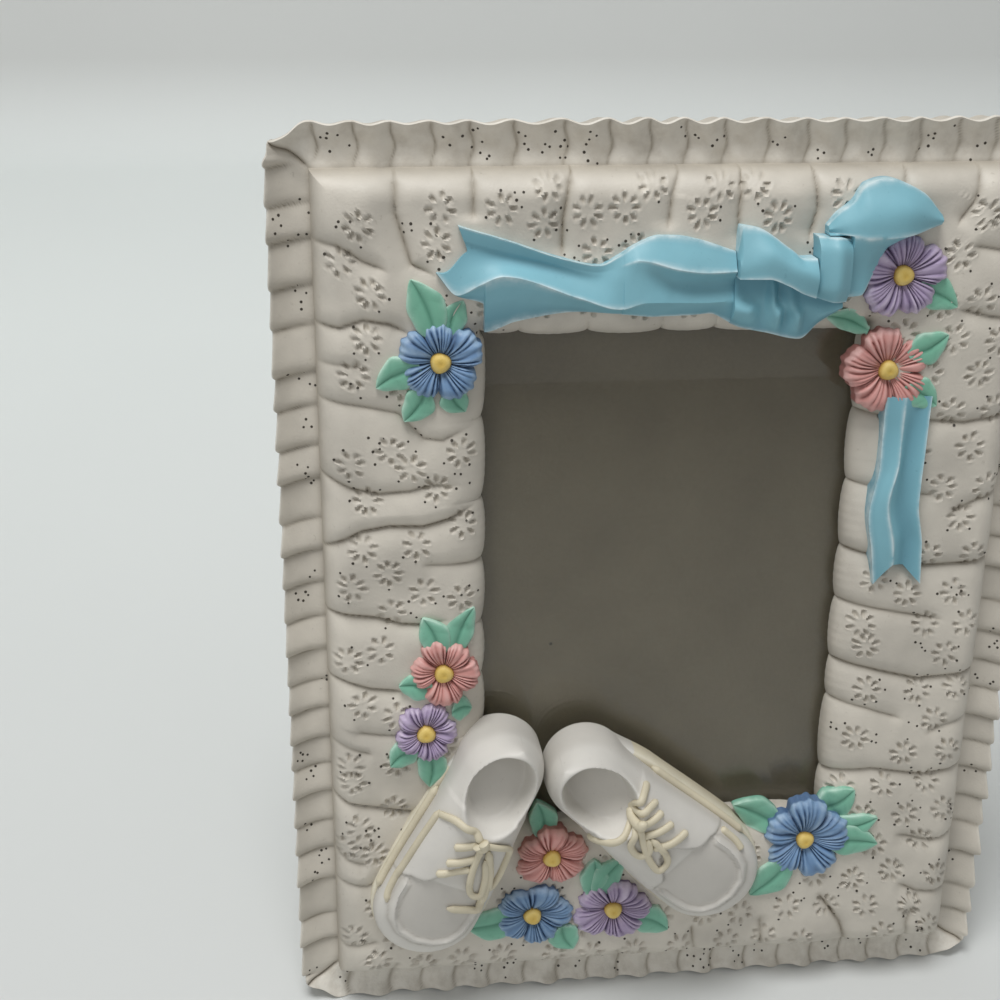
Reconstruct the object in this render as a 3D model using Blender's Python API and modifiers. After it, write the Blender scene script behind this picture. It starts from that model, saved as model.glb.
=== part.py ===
"""Baby photo frame: a cast border like gathered eyelet fabric, with a bow, flowers and baby shoes.

Lengths are metres, angles degrees. The frame has its own axes: x to the right, v up its front and w
from its flat back towards the viewer. The frame stands on its bottom edge and leans back on an easel leg.
"""

import math

import bmesh
import bpy
import numpy as np
from mathutils import Matrix, Vector

MM = 0.001

# Print, and the stack that fills the rebate from the back
PRINT_WIDTH = 0.089
PRINT_HEIGHT = 0.127
PRINT_LAP = 0.002
VELVET_THICKNESS = 0.0004
BOARD_THICKNESS = 0.0025
CARD_THICKNESS = 0.0012
GLASS_THICKNESS = 0.002
LIP_THICKNESS = 0.0024
CLEARANCE = 0.0003
REBATE_PLAY = 0.0004

# Border
SIDE_BORDER = 0.044
TOP_BORDER = 0.043
BOTTOM_BORDER = 0.049
PILLOW_RISE = 0.0063
SEAM_HEIGHT = 0.0088
OUTER_ROLL = 0.006
INNER_ROLL = 0.012
PANEL_STEP = 0.0048
CREASE_DEPTH = 0.0014
CREASE_REACH = 0.0046
CREASE_AT_SEAM = 0.25

# Ruffle
RUFFLE_WIDTH = 0.009
RUFFLE_PITCH = 0.0082
RUFFLE_HEIGHT = 0.0075
PLEAT_DEPTH = 0.0016
SCALLOP = 0.0005
PLEAT_BREAK = 0.42
RUFFLE_TUCK = 0.002

# Stance
LEAN = 12.0
FOOT_CUT = 0.001

# Easel back
HINGE_HEIGHT = 0.140
LEG_OPENING = 26.0
LEG_THICKNESS = 0.0025
LEG_TOP_WIDTH = 0.026
LEG_FOOT_WIDTH = 0.044
LEG_TOP_GAP = 0.0035
HEM_GAP = 0.0015
LEAF_THICKNESS = 0.0008
LEAF_WIDTH = 0.018
LEAF_LENGTH = 0.017
PIN_RADIUS = 0.0008
PIN_PLAY = 0.0002
KNUCKLE_WALL = 0.001
KNUCKLE_SHARE = 0.42
STOP_LENGTH = 0.006
RIVET_RADIUS = 0.001
RIVET_HEAD_RADIUS = 0.002
RIVET_HEAD_HEIGHT = 0.0009
RIVET_SPACING = 0.010
RIVET_INSET = 0.005
RIVET_BITE = 0.6

# Turn buttons
BUTTON_LENGTH = 0.019
BUTTON_WIDTH = 0.007
BUTTON_THICKNESS = 0.0008
BUTTON_ROUND = 8
BUTTON_LOW = 0.075
BUTTON_HIGH = 0.146
BUTTON_OFFSET = 0.0065
SCREW_RADIUS = 0.001
SCREW_HEAD_RADIUS = 0.0025
SCREW_HEAD_HEIGHT = 0.0012
SCREW_GRIP = 0.0065

# Ornaments
SEAT_RISE = 0.0013
STEM_HEIGHT = 0.0014
STEM_WIDTH = 0.003
HUB_RADIUS = 0.0044
HUB_SIDES = 8
ROOT_LAP = 0.0016
LEAF_RELIEF = 0.0012
LEAF_EDGE = 0.5
LEAF_RIB = 0.7
LEAF_TIP = 0.4
BLADE_SHARE = 0.62
BLADE_BY_WIDTH = 1.1
PETAL_RELIEF = 0.0022
PETALS = 5
PETAL_POINTS = 4
PETAL_NOTCH = 0.34
NOTCH_SHARPNESS = 1.6
PETAL_FOOT = 0.97
PETAL_CREST = 0.66
PETAL_EDGE_DIP = 0.0006
PETAL_CREST_DIP = 0.0012
THROAT_RISE = 0.35
THROAT_RIM = 0.34
THROAT_FLOOR = 0.28
THROAT_STEP = 0.0003
EYE_RADIUS = 0.0021
EYE_HEIGHT = 0.0016
SHOE_LENGTH = 0.0665
HEEL_RADIUS = 0.0103
TOE_RADIUS = 0.013
WELT = 0.0014
SOLE_THICKNESS = 0.0058
SHOE_OPENING = 0.0235
SHOE_WALL = 0.0024
SHOE_STEPS = 12
SHOE_ARC = 8
UPPER_SQUARENESS = 2.6
TONGUE_SIZE = 0.0045
TOE_RIM_RADIUS = 0.001
TOE_RIM_SHARE = 0.74
TOE_RIM_TURN = 105
TOE_POINTS = 10
LACE_RADIUS = 0.0006
LACE_GAP = 0.0005
LACE_REACH = 0.0045
LACE_DROP = 0.0022
LACE_LOOP = 0.0075
LACE_LOOP_SLIMNESS = 0.3
LACE_KNOT = 1.9
LACE_END = 0.6
BAR_POINTS = 4
LOOP_POINTS = 9
LACE_BARS = (0.66, 0.59, 0.52)
SMOOTH_ANGLE = 40.0
END_WELD = 0.00001
CAP_WELD = 0.000001

OPENING_WIDTH = PRINT_WIDTH - 2 * PRINT_LAP
OPENING_HEIGHT = PRINT_HEIGHT - 2 * PRINT_LAP
FRAME_WIDTH = OPENING_WIDTH + 2 * SIDE_BORDER
FRAME_HEIGHT = OPENING_HEIGHT + TOP_BORDER + BOTTOM_BORDER
EDGE_X = FRAME_WIDTH / 2
OPEN_X = OPENING_WIDTH / 2
OPEN_LOW = BOTTOM_BORDER
OPEN_HIGH = BOTTOM_BORDER + OPENING_HEIGHT
OPEN_MIDDLE = (OPEN_LOW + OPEN_HIGH) / 2
REBATE_X = PRINT_WIDTH / 2 + REBATE_PLAY
SEAM_X = EDGE_X - RUFFLE_WIDTH
SEAM_LOW = RUFFLE_WIDTH
SEAM_HIGH = FRAME_HEIGHT - RUFFLE_WIDTH
BOARD_BACK = VELVET_THICKNESS + CLEARANCE
CARD_BACK = BOARD_BACK + BOARD_THICKNESS + CLEARANCE
GLASS_BACK = CARD_BACK + CARD_THICKNESS + CLEARANCE
LEDGE = GLASS_BACK + GLASS_THICKNESS + CLEARANCE
LIP_FRONT = LEDGE + LIP_THICKNESS
CREST = LIP_FRONT + PILLOW_RISE
SEAT = LIP_FRONT + SEAT_RISE
BLOOM_SEAT = SEAT + CLEARANCE + STEM_HEIGHT + CLEARANCE
KNUCKLE_RADIUS = PIN_RADIUS + PIN_PLAY + KNUCKLE_WALL
LEG_STACK = LEAF_THICKNESS + VELVET_THICKNESS + LEG_THICKNESS + 3 * CLEARANCE
PIN_BACK = LEG_STACK - KNUCKLE_RADIUS
HINGE_RISE = (
    HINGE_HEIGHT * math.cos(math.radians(LEAN)) - PIN_BACK * math.sin(math.radians(LEAN)) - FOOT_CUT)
LEG_REACH = HINGE_RISE / math.cos(math.radians(LEG_OPENING - LEAN))
ABOVE_ALL = CREST + 0.03
BELOW_ALL = -0.01
TO_FRONT = (math.radians(90), 0, 0)
TO_BACK = (math.radians(-90), 0, 0)

# Points of a pleat: share of its pitch, then swell and lift as shares of the scallop and half the depth
PLEAT = ((0.12, -0.8, -1.0), (0.45, 1.0, 0.9))
# Profiles of the domed pieces: share of the radius and share of the height
EYE_DOME = ((0, 1), (0.6, 0.82), (1, 0.3), (0.9, 0), (0, 0))
SCREW_DOME = ((0, 1), (0.55, 0.92), (0.9, 0.55), (1, 0))
# Blade of a leaf: share of its length and half width as a share of its widest
LEAF_SHAPE = ((0.24, 0.92), (0.56, 0.9), (0.84, 0.42))

# Creases of the gathered fabric: side, share of its length, share across the border at both ends,
# and how far the far end drifts along the side
CREASES = (
    ("left", 0.893, 0.0, 0.42, -0.005), ("left", 0.814, 0.0, 0.57, -0.002),
    ("left", 0.739, 0.0, 0.96, -0.007), ("left", 0.660, 0.0, 0.84, -0.003),
    ("left", 0.582, 0.02, 0.98, 0.009), ("left", 0.505, 0.02, 0.76, -0.002),
    ("left", 0.430, 0.0, 0.47, -0.004), ("left", 0.288, 0.0, 0.62, -0.006),
    ("left", 0.174, 0.0, 0.36, 0.001), ("left", 0.094, 0.0, 0.30, 0.0),
    ("top", 0.152, 0.0, 0.55, 0.006), ("top", 0.245, 0.0, 0.24, 0.0),
    ("top", 0.364, 0.0, 0.48, -0.002), ("top", 0.494, 0.0, 0.31, -0.003),
    ("top", 0.571, 0.0, 0.36, 0.0), ("top", 0.660, 0.0, 0.38, 0.0),
    ("top", 0.860, 0.0, 0.60, -0.005),
    ("right", 0.860, 0.0, 0.60, -0.004), ("right", 0.740, 0.0, 0.55, 0.004),
    ("right", 0.612, 0.1, 1.0, 0.004), ("right", 0.540, 0.2, 1.0, 0.003),
    ("right", 0.480, 0.0, 1.0, 0.003), ("right", 0.355, 0.1, 1.0, 0.003),
    ("right", 0.262, 0.0, 1.0, 0.004), ("right", 0.150, 0.0, 0.50, 0.0),
    ("bottom", 0.120, 0.0, 0.25, 0.003), ("bottom", 0.560, 0.0, 0.70, 0.003),
    ("bottom", 0.670, 0.0, 0.80, -0.002), ("bottom", 0.780, 0.1, 0.55, -0.006),
    ("bottom", 0.900, 0.0, 0.40, -0.005),
)

# Flowers: corner they hang from, offset from it in mm, half sizes in mm, turn, colour
FLOWERS = {
    "top_left": ((-1, 1), (-8.9, -5.3), (8.7, 8.7), 20, "blue"),
    "left_upper": ((-1, -1), (-8.7, 44.7), (7.9, 8.2), 75, "pink"),
    "left_lower": ((-1, -1), (-12.9, 29.4), (7.3, 7.3), 40, "purple"),
    "bottom_upper": ((-1, -1), (17.2, -6.8), (8.9, 7.3), 15, "pink"),
    "bottom_left": ((-1, -1), (12.6, -22.7), (9.4, 8.3), 50, "blue"),
    "bottom_middle": ((-1, -1), (32.6, -22.4), (9.6, 8.2), 10, "purple"),
    "bottom_right": ((1, -1), (-5.0, -5.9), (10.6, 10.6), 18, "blue"),
    "top_right_upper": ((1, 1), (5.2, 11.6), (9.1, 9.1), 0, "purple"),
    "top_right_lower": ((1, 1), (4.3, -9.6), (9.6, 9.2), 30, "pink"),
}

# Leaf sprigs: the flowers they pass under, then each leaf as its flower, tip offset and width in mm
SPRIGS = {
    "top_left": (("top_left",), (
        ("top_left", (-14.9, 12.0), 7.2), ("top_left", (-5.2, 7.3), 5.6), ("top_left", (-22.3, -10.6), 6.6),
        ("top_left", (-16.5, -17.8), 6.4), ("top_left", (-3.8, -16.4), 5.6))),
    "left": (("left_upper", "left_lower"), (
        ("left_upper", (-13.1, 58.0), 6.2), ("left_upper", (-2.0, 59.4), 5.8),
        ("left_upper", (-18.7, 40.6), 6.2),
        ("left_upper", (-2.9, 33.6), 6.0), ("left_lower", (-21.0, 20.9), 5.6),
        ("left_lower", (-12.2, 15.4), 6.4))),
    "bottom": (("bottom_upper", "bottom_left", "bottom_middle"), (
        ("bottom_upper", (13.7, 7.0), 6.2), ("bottom_middle", (36.6, -10.6), 6.4),
        ("bottom_middle", (28.2, -11.8), 6.4),
        ("bottom_middle", (46.1, -28.4), 7.2), ("bottom_left", (21.8, -33.3), 7.0),
        ("bottom_left", (-2.9, -26.5), 7.6))),
    "bottom_right": (("bottom_right",), (
        ("bottom_right", (-22.6, 3.2), 7.2), ("bottom_right", (-17.6, -20.6), 7.6),
        ("bottom_right", (6.4, 7.0), 7.0),
        ("bottom_right", (13.4, -7.8), 7.4), ("bottom_right", (12.8, -1.4), 5.6))),
    "top_right": (("top_right_upper", "top_right_lower"), (
        ("top_right_lower", (-9.9, 2.4), 4.6), ("top_right_upper", (17.8, 4.2), 6.6),
        ("top_right_lower", (16.6, -2.0), 6.6), ("top_right_lower", (15.6, -17.4), 6.4))),
}

# Ribbon rails: run as a share of half the opening, offset above the opening and height above the
# fabric's crest in mm. The first rail is the upper edge and the last the lower.
TAIL_LEFT = (
    ((-1.226, 25.3, 0.6), (-1.12, 23.6, 1.0), (-0.90, 20.7, 1.4), (-0.59, 16.3, 1.6),
     (-0.43, 15.0, 1.8), (-0.315, 17.2, 2.2)),
    ((-1.226, 20.0, -0.2), (-1.00, 17.3, -0.2), (-0.70, 14.6, 0.2), (-0.43, 11.5, 1.6),
     (-0.315, 12.0, 3.0)),
    ((-1.226, 14.0, 0.4), (-1.127, 9.4, 1.6), (-1.02, 11.7, 3.4), (-0.908, 13.5, 4.0),
     (-0.534, 8.8, 4.4), (-0.315, 6.0, 3.6)),
    ((-1.226, 13.5, 0.0), (-1.127, 8.8, 0.2), (-0.995, 7.2, 0.8), (-0.988, 0.8, -1.0),
     (-0.83, 3.1, -0.4), (-0.532, 5.0, 0.4),
     (-0.315, 4.6, 1.5)),
)
WAVE = (
    ((-0.308, 17.4, 2.2), (-0.24, 19.3, 1.6), (-0.13, 20.9, 1.2), (-0.04, 20.8, 1.0),
     (0.07, 19.9, 1.0), (0.247, 17.4, 1.4)),
    ((-0.308, 15.6, 3.4), (-0.24, 16.3, 4.2), (-0.04, 14.3, 4.4), (0.11, 13.5, 4.0), (0.247, 13.6, 3.8)),
    ((-0.308, 12.5, 3.4), (-0.24, 12.8, 4.2), (-0.04, 11.0, 1.6), (0.11, 10.5, 1.2), (0.247, 10.8, 1.2)),
    ((-0.308, 8.5, 4.0), (-0.20, 7.5, 4.6), (-0.04, 7.0, 2.6), (0.11, 6.8, 2.2), (0.247, 7.0, 2.0)),
    ((-0.308, 4.6, 1.5), (-0.137, 3.8, 1.2), (0.03, 3.8, 0.4), (0.14, 4.0, 0.0), (0.247, 1.9, 0.0)),
)
DRAPE = (
    ((0.254, 10.9, 1.0), (0.39, 11.2, 1.0), (0.50, 9.4, 0.6), (0.58, 7.6, 0.4),
     (0.656, 6.3, 0.2), (0.815, 5.6, 0.0)),
    ((0.254, 6.0, 2.2), (0.45, 5.0, 2.8), (0.66, 3.2, 3.2), (0.815, 5.0, 1.6)),
    ((0.254, 1.7, 0.0), (0.303, 0.8, 0.0), (0.435, -0.4, 0.0), (0.61, -1.9, 0.0),
     (0.71, 1.5, 0.0), (0.815, 4.4, 0.0)),
)
LOOP_LEFT = (
    ((0.254, 17.6, 2.0), (0.272, 22.8, 2.4), (0.348, 22.4, 2.6), (0.518, 18.0, 3.4),
     (0.586, 16.1, 3.8), (0.645, 16.2, 4.2)),
    ((0.254, 15.6, 5.2), (0.40, 17.4, 6.4), (0.52, 14.8, 6.6), (0.645, 12.6, 6.6)),
    ((0.254, 12.3, 5.4), (0.393, 12.4, 6.4), (0.496, 10.9, 6.2), (0.576, 9.1, 5.8), (0.645, 8.0, 5.4)),
)
KNOT = (
    ((0.652, 20.6, 3.0), (0.735, 20.6, 5.6), (0.817, 20.0, 3.4)),
    ((0.652, 17.6, 5.4), (0.735, 17.6, 7.6), (0.817, 17.2, 5.2)),
    ((0.652, 10.6, 5.2), (0.735, 10.4, 7.4), (0.817, 10.2, 5.0)),
    ((0.652, 7.8, 3.0), (0.735, 7.0, 5.2), (0.817, 6.6, 3.0)),
)
LOOP_RIGHT = (
    ((0.824, 27.6, 1.4), (0.885, 31.0, 1.6), (0.99, 31.6, 1.4), (1.17, 28.8, 1.4), (1.29, 24.4, 1.2)),
    ((0.824, 22.0, 4.6), (0.90, 26.5, 5.2), (1.06, 27.0, 5.0), (1.29, 23.4, 2.2)),
    ((0.824, 7.4, 1.6), (0.878, 8.2, 1.4), (0.886, 21.2, 3.0), (0.94, 22.2, 3.4),
     (1.12, 22.8, 3.0), (1.29, 22.4, 1.2)),
)
# Right tail: run below the opening's top, offset outside the opening and height above the crest, in mm
TAIL_RIGHT = (
    ((-61.0, 5.6, 0.6), (-52.0, 4.2, 1.0), (-43.0, 2.7, 1.4), (-31.0, 4.2, 1.0), (-20.4, 4.0, 1.0)),
    ((-61.0, 9.6, 1.6), (-50.0, 8.4, 3.2), (-40.0, 6.4, 3.0), (-30.0, 8.2, 2.2), (-20.4, 8.4, 2.6)),
    ((-61.0, 12.6, 0.4), (-50.0, 12.2, 0.4), (-40.0, 10.2, 0.6), (-20.4, 11.6, 0.6)),
    ((-61.0, 16.6, 1.4), (-50.0, 15.6, 2.0), (-40.0, 13.8, 2.2), (-20.4, 14.6, 1.6)),
)

# Rails, fork and direction of each ribbon piece. A fork is an outline in runs and offsets
RIBBONS = {
    "ribbon_tail_left": (
        TAIL_LEFT, ((-1.27, 27.0), (-1.12, 23.6), (-1.075, 16.9), (-1.226, 13.9), (-1.27, 14.0)), False),
    "ribbon_wave": (WAVE, None, False),
    "ribbon_drape": (DRAPE, None, False),
    "bow_loop_left": (LOOP_LEFT, None, False),
    "bow_knot": (KNOT, None, False),
    "bow_loop_right": (LOOP_RIGHT, None, False),
    "ribbon_tail_right": (TAIL_RIGHT, ((-61.5, 6.2), (-61.5, 16.0), (-55.0, 11.0)), True),
}

# Shoes: heel centre offset from the opening's lower left corner in mm, and heading from straight down
SHOES = {
    "left": ((4.1, 21.0), -24.5),
    "right": ((24.9, 17.4), 46.0),
}
# Height of a shoe's upper above its sole, as share of length and height in mm
SHOE_CROWN = (
    (0.0, 11.6), (0.10, 13.0), (0.28, 12.6), (0.45, 11.0), (0.62, 9.4), (0.80, 7.2),
    (0.95, 4.8), (1.0, 3.8),
)

COLOURS = {
    "resin_ivory": (0.80, 0.77, 0.70), "ribbon_blue": (0.47, 0.70, 0.78), "blue": (0.36, 0.48, 0.68),
    "pink": (0.76, 0.45, 0.45), "purple": (0.60, 0.50, 0.68), "leaf_green": (0.40, 0.66, 0.55),
    "yellow": (0.80, 0.67, 0.27), "shoe_white": (0.86, 0.84, 0.81), "sole_cream": (0.80, 0.76, 0.64),
    "lace_cream": (0.76, 0.70, 0.54), "chipboard": (0.42, 0.38, 0.32), "velvet_grey": (0.17, 0.17, 0.19),
    "black_board": (0.09, 0.09, 0.09), "steel": (0.62, 0.62, 0.62), "brass": (0.72, 0.58, 0.32),
    "clear_glass": (0.85, 0.90, 0.90),
}
METALS = ("steel", "brass")


def at(x, v, w):
    """Point of a place in the frame's own axes."""
    return Vector((x, -w, v))


def clear_scene():
    for item in list(bpy.data.objects):
        bpy.data.objects.remove(item, do_unlink=True)


def group(name):
    collection = bpy.data.collections.new(name)
    bpy.context.scene.collection.children.link(collection)
    return collection


def material(name):
    if name in bpy.data.materials:
        return bpy.data.materials[name]
    made = bpy.data.materials.new(name)
    made.use_nodes = True
    shader = made.node_tree.nodes["Principled BSDF"]
    linear = [channel ** 2.2 for channel in COLOURS[name]]
    shader.inputs["Base Color"].default_value = (*linear, 1.0)
    shader.inputs["Roughness"].default_value = 0.3 if name in METALS else 0.65
    shader.inputs["Metallic"].default_value = 1.0 if name in METALS else 0.0
    if name == "clear_glass":
        shader.inputs["Roughness"].default_value = 0.05
        shader.inputs["Transmission Weight"].default_value = 1.0
    return made


def adopt(piece, parent, look=None, home="parts"):
    """Put a new object in its collection, under its parent, with its material."""
    for collection in list(piece.users_collection):
        collection.objects.unlink(piece)
    GROUPS[home].objects.link(piece)
    piece.parent = parent
    if look:
        piece.data.materials.clear()
        piece.data.materials.append(material(look))
    if home != "parts":
        piece.hide_render = True
        piece.display_type = "WIRE"
    return piece


def from_faces(name, faces, origin=None):
    """Object from faces given as lists of points. Equal points are shared and slivers dropped."""
    origin = origin or Vector((0, 0, 0))
    mesh = bmesh.new()
    known = {}
    for face in faces:
        corners = []
        for point in face:
            key = tuple(round(value * 1e7) for value in point)
            if key not in known:
                known[key] = mesh.verts.new(Vector(point) - origin)
            if known[key] not in corners:
                corners.append(known[key])
        if len(corners) > 2:
            mesh.faces.new(corners)
    bmesh.ops.recalc_face_normals(mesh, faces=mesh.faces)
    data = bpy.data.meshes.new(name)
    mesh.to_mesh(data)
    mesh.free()
    made = bpy.data.objects.new(name, data)
    bpy.context.scene.collection.objects.link(made)
    made.location = origin
    return made


def loft(sections, ring=False):
    """Faces between closed sections of equal count. A ring joins its last section to its first."""
    count = len(sections[0])
    pairs = list(zip(sections, sections[1:]))
    if ring:
        pairs.append((sections[-1], sections[0]))
    faces = [
        [one[i], one[(i + 1) % count], two[(i + 1) % count], two[i]]
        for one, two in pairs
        for i in range(count)
    ]
    if not ring:
        faces += [list(reversed(sections[0])), list(sections[-1])]
    return faces


def box(name, x_span, v_span, w_span):
    """Box over spans of the frame's own axes."""
    bpy.ops.mesh.primitive_cube_add(size=1)
    made = bpy.context.object
    made.name = name
    low = at(x_span[0], v_span[0], w_span[1])
    high = at(x_span[1], v_span[1], w_span[0])
    for corner in made.data.vertices:
        corner.co = [corner.co[i] * (high[i] - low[i]) for i in range(3)]
    made.location = (low + high) / 2
    return made


def rod(name, radius, length, location, rotation=(0, 0, 0), sides=16):
    """Round bar along its own Z, centred on its location."""
    bpy.ops.mesh.primitive_cylinder_add(vertices=sides, radius=radius, depth=length)
    made = bpy.context.object
    made.name = name
    made.location = location
    made.rotation_euler = rotation
    return made


def turned(name, profile, location, rotation, sides=12):
    """Profile of (radius, height) points, run down its outer side, turned about its own Z."""
    data = bpy.data.meshes.new(name)
    data.from_pydata([(r, 0, z) for r, z in profile], [(i, i + 1) for i in range(len(profile) - 1)], [])
    made = bpy.data.objects.new(name, data)
    bpy.context.scene.collection.objects.link(made)
    screw = made.modifiers.new("turn", "SCREW")
    screw.axis = "Z"
    screw.steps = sides
    screw.render_steps = sides
    screw.use_merge_vertices = True
    screw.merge_threshold = END_WELD
    made.location = location
    made.rotation_euler = rotation
    return made


def as_mesh(curve):
    """Mesh object in place of a curve, with its caps welded."""
    bpy.context.view_layer.update()
    evaluated = curve.evaluated_get(bpy.context.evaluated_depsgraph_get())
    data = bpy.data.meshes.new_from_object(evaluated)
    mesh = bmesh.new()
    mesh.from_mesh(data)
    bmesh.ops.remove_doubles(mesh, verts=mesh.verts, dist=CAP_WELD)
    mesh.to_mesh(data)
    mesh.free()
    made = bpy.data.objects.new(curve.name, data)
    bpy.context.scene.collection.objects.link(made)
    made.matrix_world = curve.matrix_world.copy()
    name = curve.name
    bpy.data.objects.remove(curve, do_unlink=True)
    made.name = name
    return made


def plate(name, outline, low, high, origin=(0.0, 0.0)):
    """Flat piece: an outline in x and v, raised from w = low to w = high."""
    data = bpy.data.curves.new(name, "CURVE")
    data.dimensions = "2D"
    data.fill_mode = "BOTH"
    data.extrude = (high - low) / 2
    spline = data.splines.new("POLY")
    spline.points.add(len(outline) - 1)
    spline.use_cyclic_u = True
    for point, (x, v) in zip(spline.points, outline):
        point.co = (x - origin[0], v - origin[1], 0, 1)
    made = bpy.data.objects.new(name, data)
    bpy.context.scene.collection.objects.link(made)
    made.location = at(origin[0], origin[1], (low + high) / 2)
    made.rotation_euler = TO_FRONT
    return as_mesh(made)


def tube(name, points, radius, origin, cyclic=False):
    """Round cord along points."""
    data = bpy.data.curves.new(name, "CURVE")
    data.dimensions = "3D"
    data.bevel_depth = radius
    data.bevel_resolution = 1
    data.use_fill_caps = True
    spline = data.splines.new("POLY")
    spline.points.add(len(points) - 1)
    spline.use_cyclic_u = cyclic
    for point, place in zip(spline.points, points):
        point.co = (*(place - origin), 1)
    made = bpy.data.objects.new(name, data)
    bpy.context.scene.collection.objects.link(made)
    made.location = origin
    return as_mesh(made)


def combine(target, others, operation):
    """Note a boolean of a piece with other objects. They all start once every shape is there."""
    COMBINATIONS.append((target, others, operation))


def start_combinations():
    """Boolean modifiers, each with its operands in a collection of their own."""
    for target, others, operation in COMBINATIONS:
        label = target.name + "_" + operation.lower()
        operands = bpy.data.collections.new(label)
        GROUPS["cutters"].children.link(operands)
        for other in others:
            operands.objects.link(other)
        change = target.modifiers.new(label, "BOOLEAN")
        change.operation = operation
        change.solver = "EXACT"
        change.operand_type = "COLLECTION"
        change.collection = operands


def tool(piece, parent):
    """A cutter or a piece that only serves a boolean."""
    return adopt(piece, parent, home="cutters")


def rounded(share):
    """Quarter round from 0 to 1."""
    share = min(max(share, 0.0), 1.0)
    return math.sqrt(1 - (1 - share) ** 2)


def border_place(side, run, depth):
    """Place at a share along a side of the border and a share across it from its seam."""
    if side == "left":
        return Vector((-SEAM_X + depth * (SEAM_X - OPEN_X), run * FRAME_HEIGHT))
    if side == "right":
        return Vector((SEAM_X - depth * (SEAM_X - OPEN_X), run * FRAME_HEIGHT))
    x = -EDGE_X + run * FRAME_WIDTH
    if side == "top":
        return Vector((x, SEAM_HIGH - depth * (SEAM_HIGH - OPEN_HIGH)))
    return Vector((x, SEAM_LOW + depth * (OPEN_LOW - SEAM_LOW)))


def crease_lines():
    """Each crease as a line from (x, v) to (x, v)."""
    lines = []
    for side, place, start, end, drift in CREASES:
        first = border_place(side, place, start)
        last = border_place(side, place, end)
        last += Vector((0, drift)) if side in ("left", "right") else Vector((drift, 0))
        lines.append((first, last))
    return lines


def crease_drop(x, v, lines):
    """How far the nearest crease sinks the fabric."""
    drop = 0.0
    spot = Vector((x, v))
    for first, last in lines:
        along = last - first
        share = min(max((spot - first).dot(along) / along.length_squared, 0.0), 1.0)
        distance = (spot - first - along * share).length
        drop = max(drop, CREASE_DEPTH * (1 - distance / CREASE_REACH))
    return drop


def fabric_height(x, v, lines=()):
    """Height of the border's front above the flat back: a pillow between the seam and the lip."""
    seam = min(SEAM_X - abs(x), v - SEAM_LOW, SEAM_HIGH - v)
    outside = max(abs(x) - OPEN_X, 0.0)
    beyond = max(OPEN_LOW - v, v - OPEN_HIGH, 0.0)
    lip = math.hypot(outside, beyond)
    height = SEAM_HEIGHT + (CREST - SEAM_HEIGHT) * rounded(seam / OUTER_ROLL)
    height -= (CREST - LIP_FRONT) * (1 - rounded(lip / INNER_ROLL))
    fade = min(CREASE_AT_SEAM + max(seam, 0.0) / OUTER_ROLL, 1.0)
    return height - crease_drop(x, v, lines) * fade


def grid_lines(stops, step):
    """Evenly spaced values that also meet every stop."""
    values = [stops[0]]
    for low, high in zip(stops, stops[1:]):
        count = max(1, round((high - low) / step))
        values += [low + (high - low) * (i + 1) / count for i in range(count)]
    return values


def panel_block():
    """The pillowed panel between the ruffle and the opening, a little deeper than the frame."""
    lines = crease_lines()
    xs = grid_lines((-SEAM_X, -OPEN_X, OPEN_X, SEAM_X), PANEL_STEP)
    vs = grid_lines((SEAM_LOW, OPEN_LOW, OPEN_HIGH, SEAM_HIGH), PANEL_STEP)
    heights = {(i, j): fabric_height(x, v, lines) for i, x in enumerate(xs) for j, v in enumerate(vs)}

    def is_cell(i, j):
        if not (0 <= i < len(xs) - 1 and 0 <= j < len(vs) - 1):
            return False
        x = (xs[i] + xs[i + 1]) / 2
        v = (vs[j] + vs[j + 1]) / 2
        return abs(x) > OPEN_X or not OPEN_LOW < v < OPEN_HIGH

    def front(i, j):
        return at(xs[i], vs[j], heights[i, j])

    def back(i, j):
        return at(xs[i], vs[j], BELOW_ALL / 2)

    faces = []
    for i in range(len(xs) - 1):
        for j in range(len(vs) - 1):
            if not is_cell(i, j):
                continue
            corners = [(i, j), (i + 1, j), (i + 1, j + 1), (i, j + 1)]
            faces.append([front(*corner) for corner in corners])
            faces.append([back(*corner) for corner in reversed(corners)])
            for k, (across, up) in enumerate(((0, -1), (1, 0), (0, 1), (-1, 0))):
                if not is_cell(i + across, j + up):
                    one, two = corners[k], corners[(k + 1) % 4]
                    faces.append([back(*one), back(*two), front(*two), front(*one)])
    return from_faces("front_casting", faces)


def ruffle_ring():
    """Pleated edge as a ring loft. Its inner part runs under the panel."""
    corners = [
        Vector((-EDGE_X, 0)), Vector((EDGE_X, 0)), Vector((EDGE_X, FRAME_HEIGHT)),
        Vector((-EDGE_X, FRAME_HEIGHT)),
    ]
    inset = RUFFLE_WIDTH + RUFFLE_TUCK
    sections = []
    for side in range(4):
        start = corners[side]
        along = corners[(side + 1) % 4] - start
        length = along.length
        along.normalize()
        outward = Vector((along.y, -along.x))
        count = round(length / RUFFLE_PITCH)
        for k in range(count):
            for share, swell, lift in PLEAT:
                run = (k + share) / count * length
                outer = start + along * run + outward * SCALLOP * swell
                inner = start + along * min(max(run, inset), length - inset) - outward * inset
                middle = outer.lerp(inner, PLEAT_BREAK)
                edge = RUFFLE_HEIGHT + PLEAT_DEPTH / 2 * lift
                fold = SEAM_HEIGHT + PLEAT_DEPTH / 2 * lift
                sections.append([
                    at(*outer, BELOW_ALL), at(*outer, edge), at(*middle, (edge + fold) / 2 + PLEAT_DEPTH / 4),
                    at(*inner, SEAM_HEIGHT - PLEAT_DEPTH), at(*inner, BELOW_ALL),
                ])
    return from_faces("ruffle_ring", loft(sections, ring=True))


def corner_of(anchor):
    """A corner of the opening."""
    return Vector((anchor[0] * OPEN_X, OPEN_HIGH if anchor[1] > 0 else OPEN_LOW))


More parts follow.
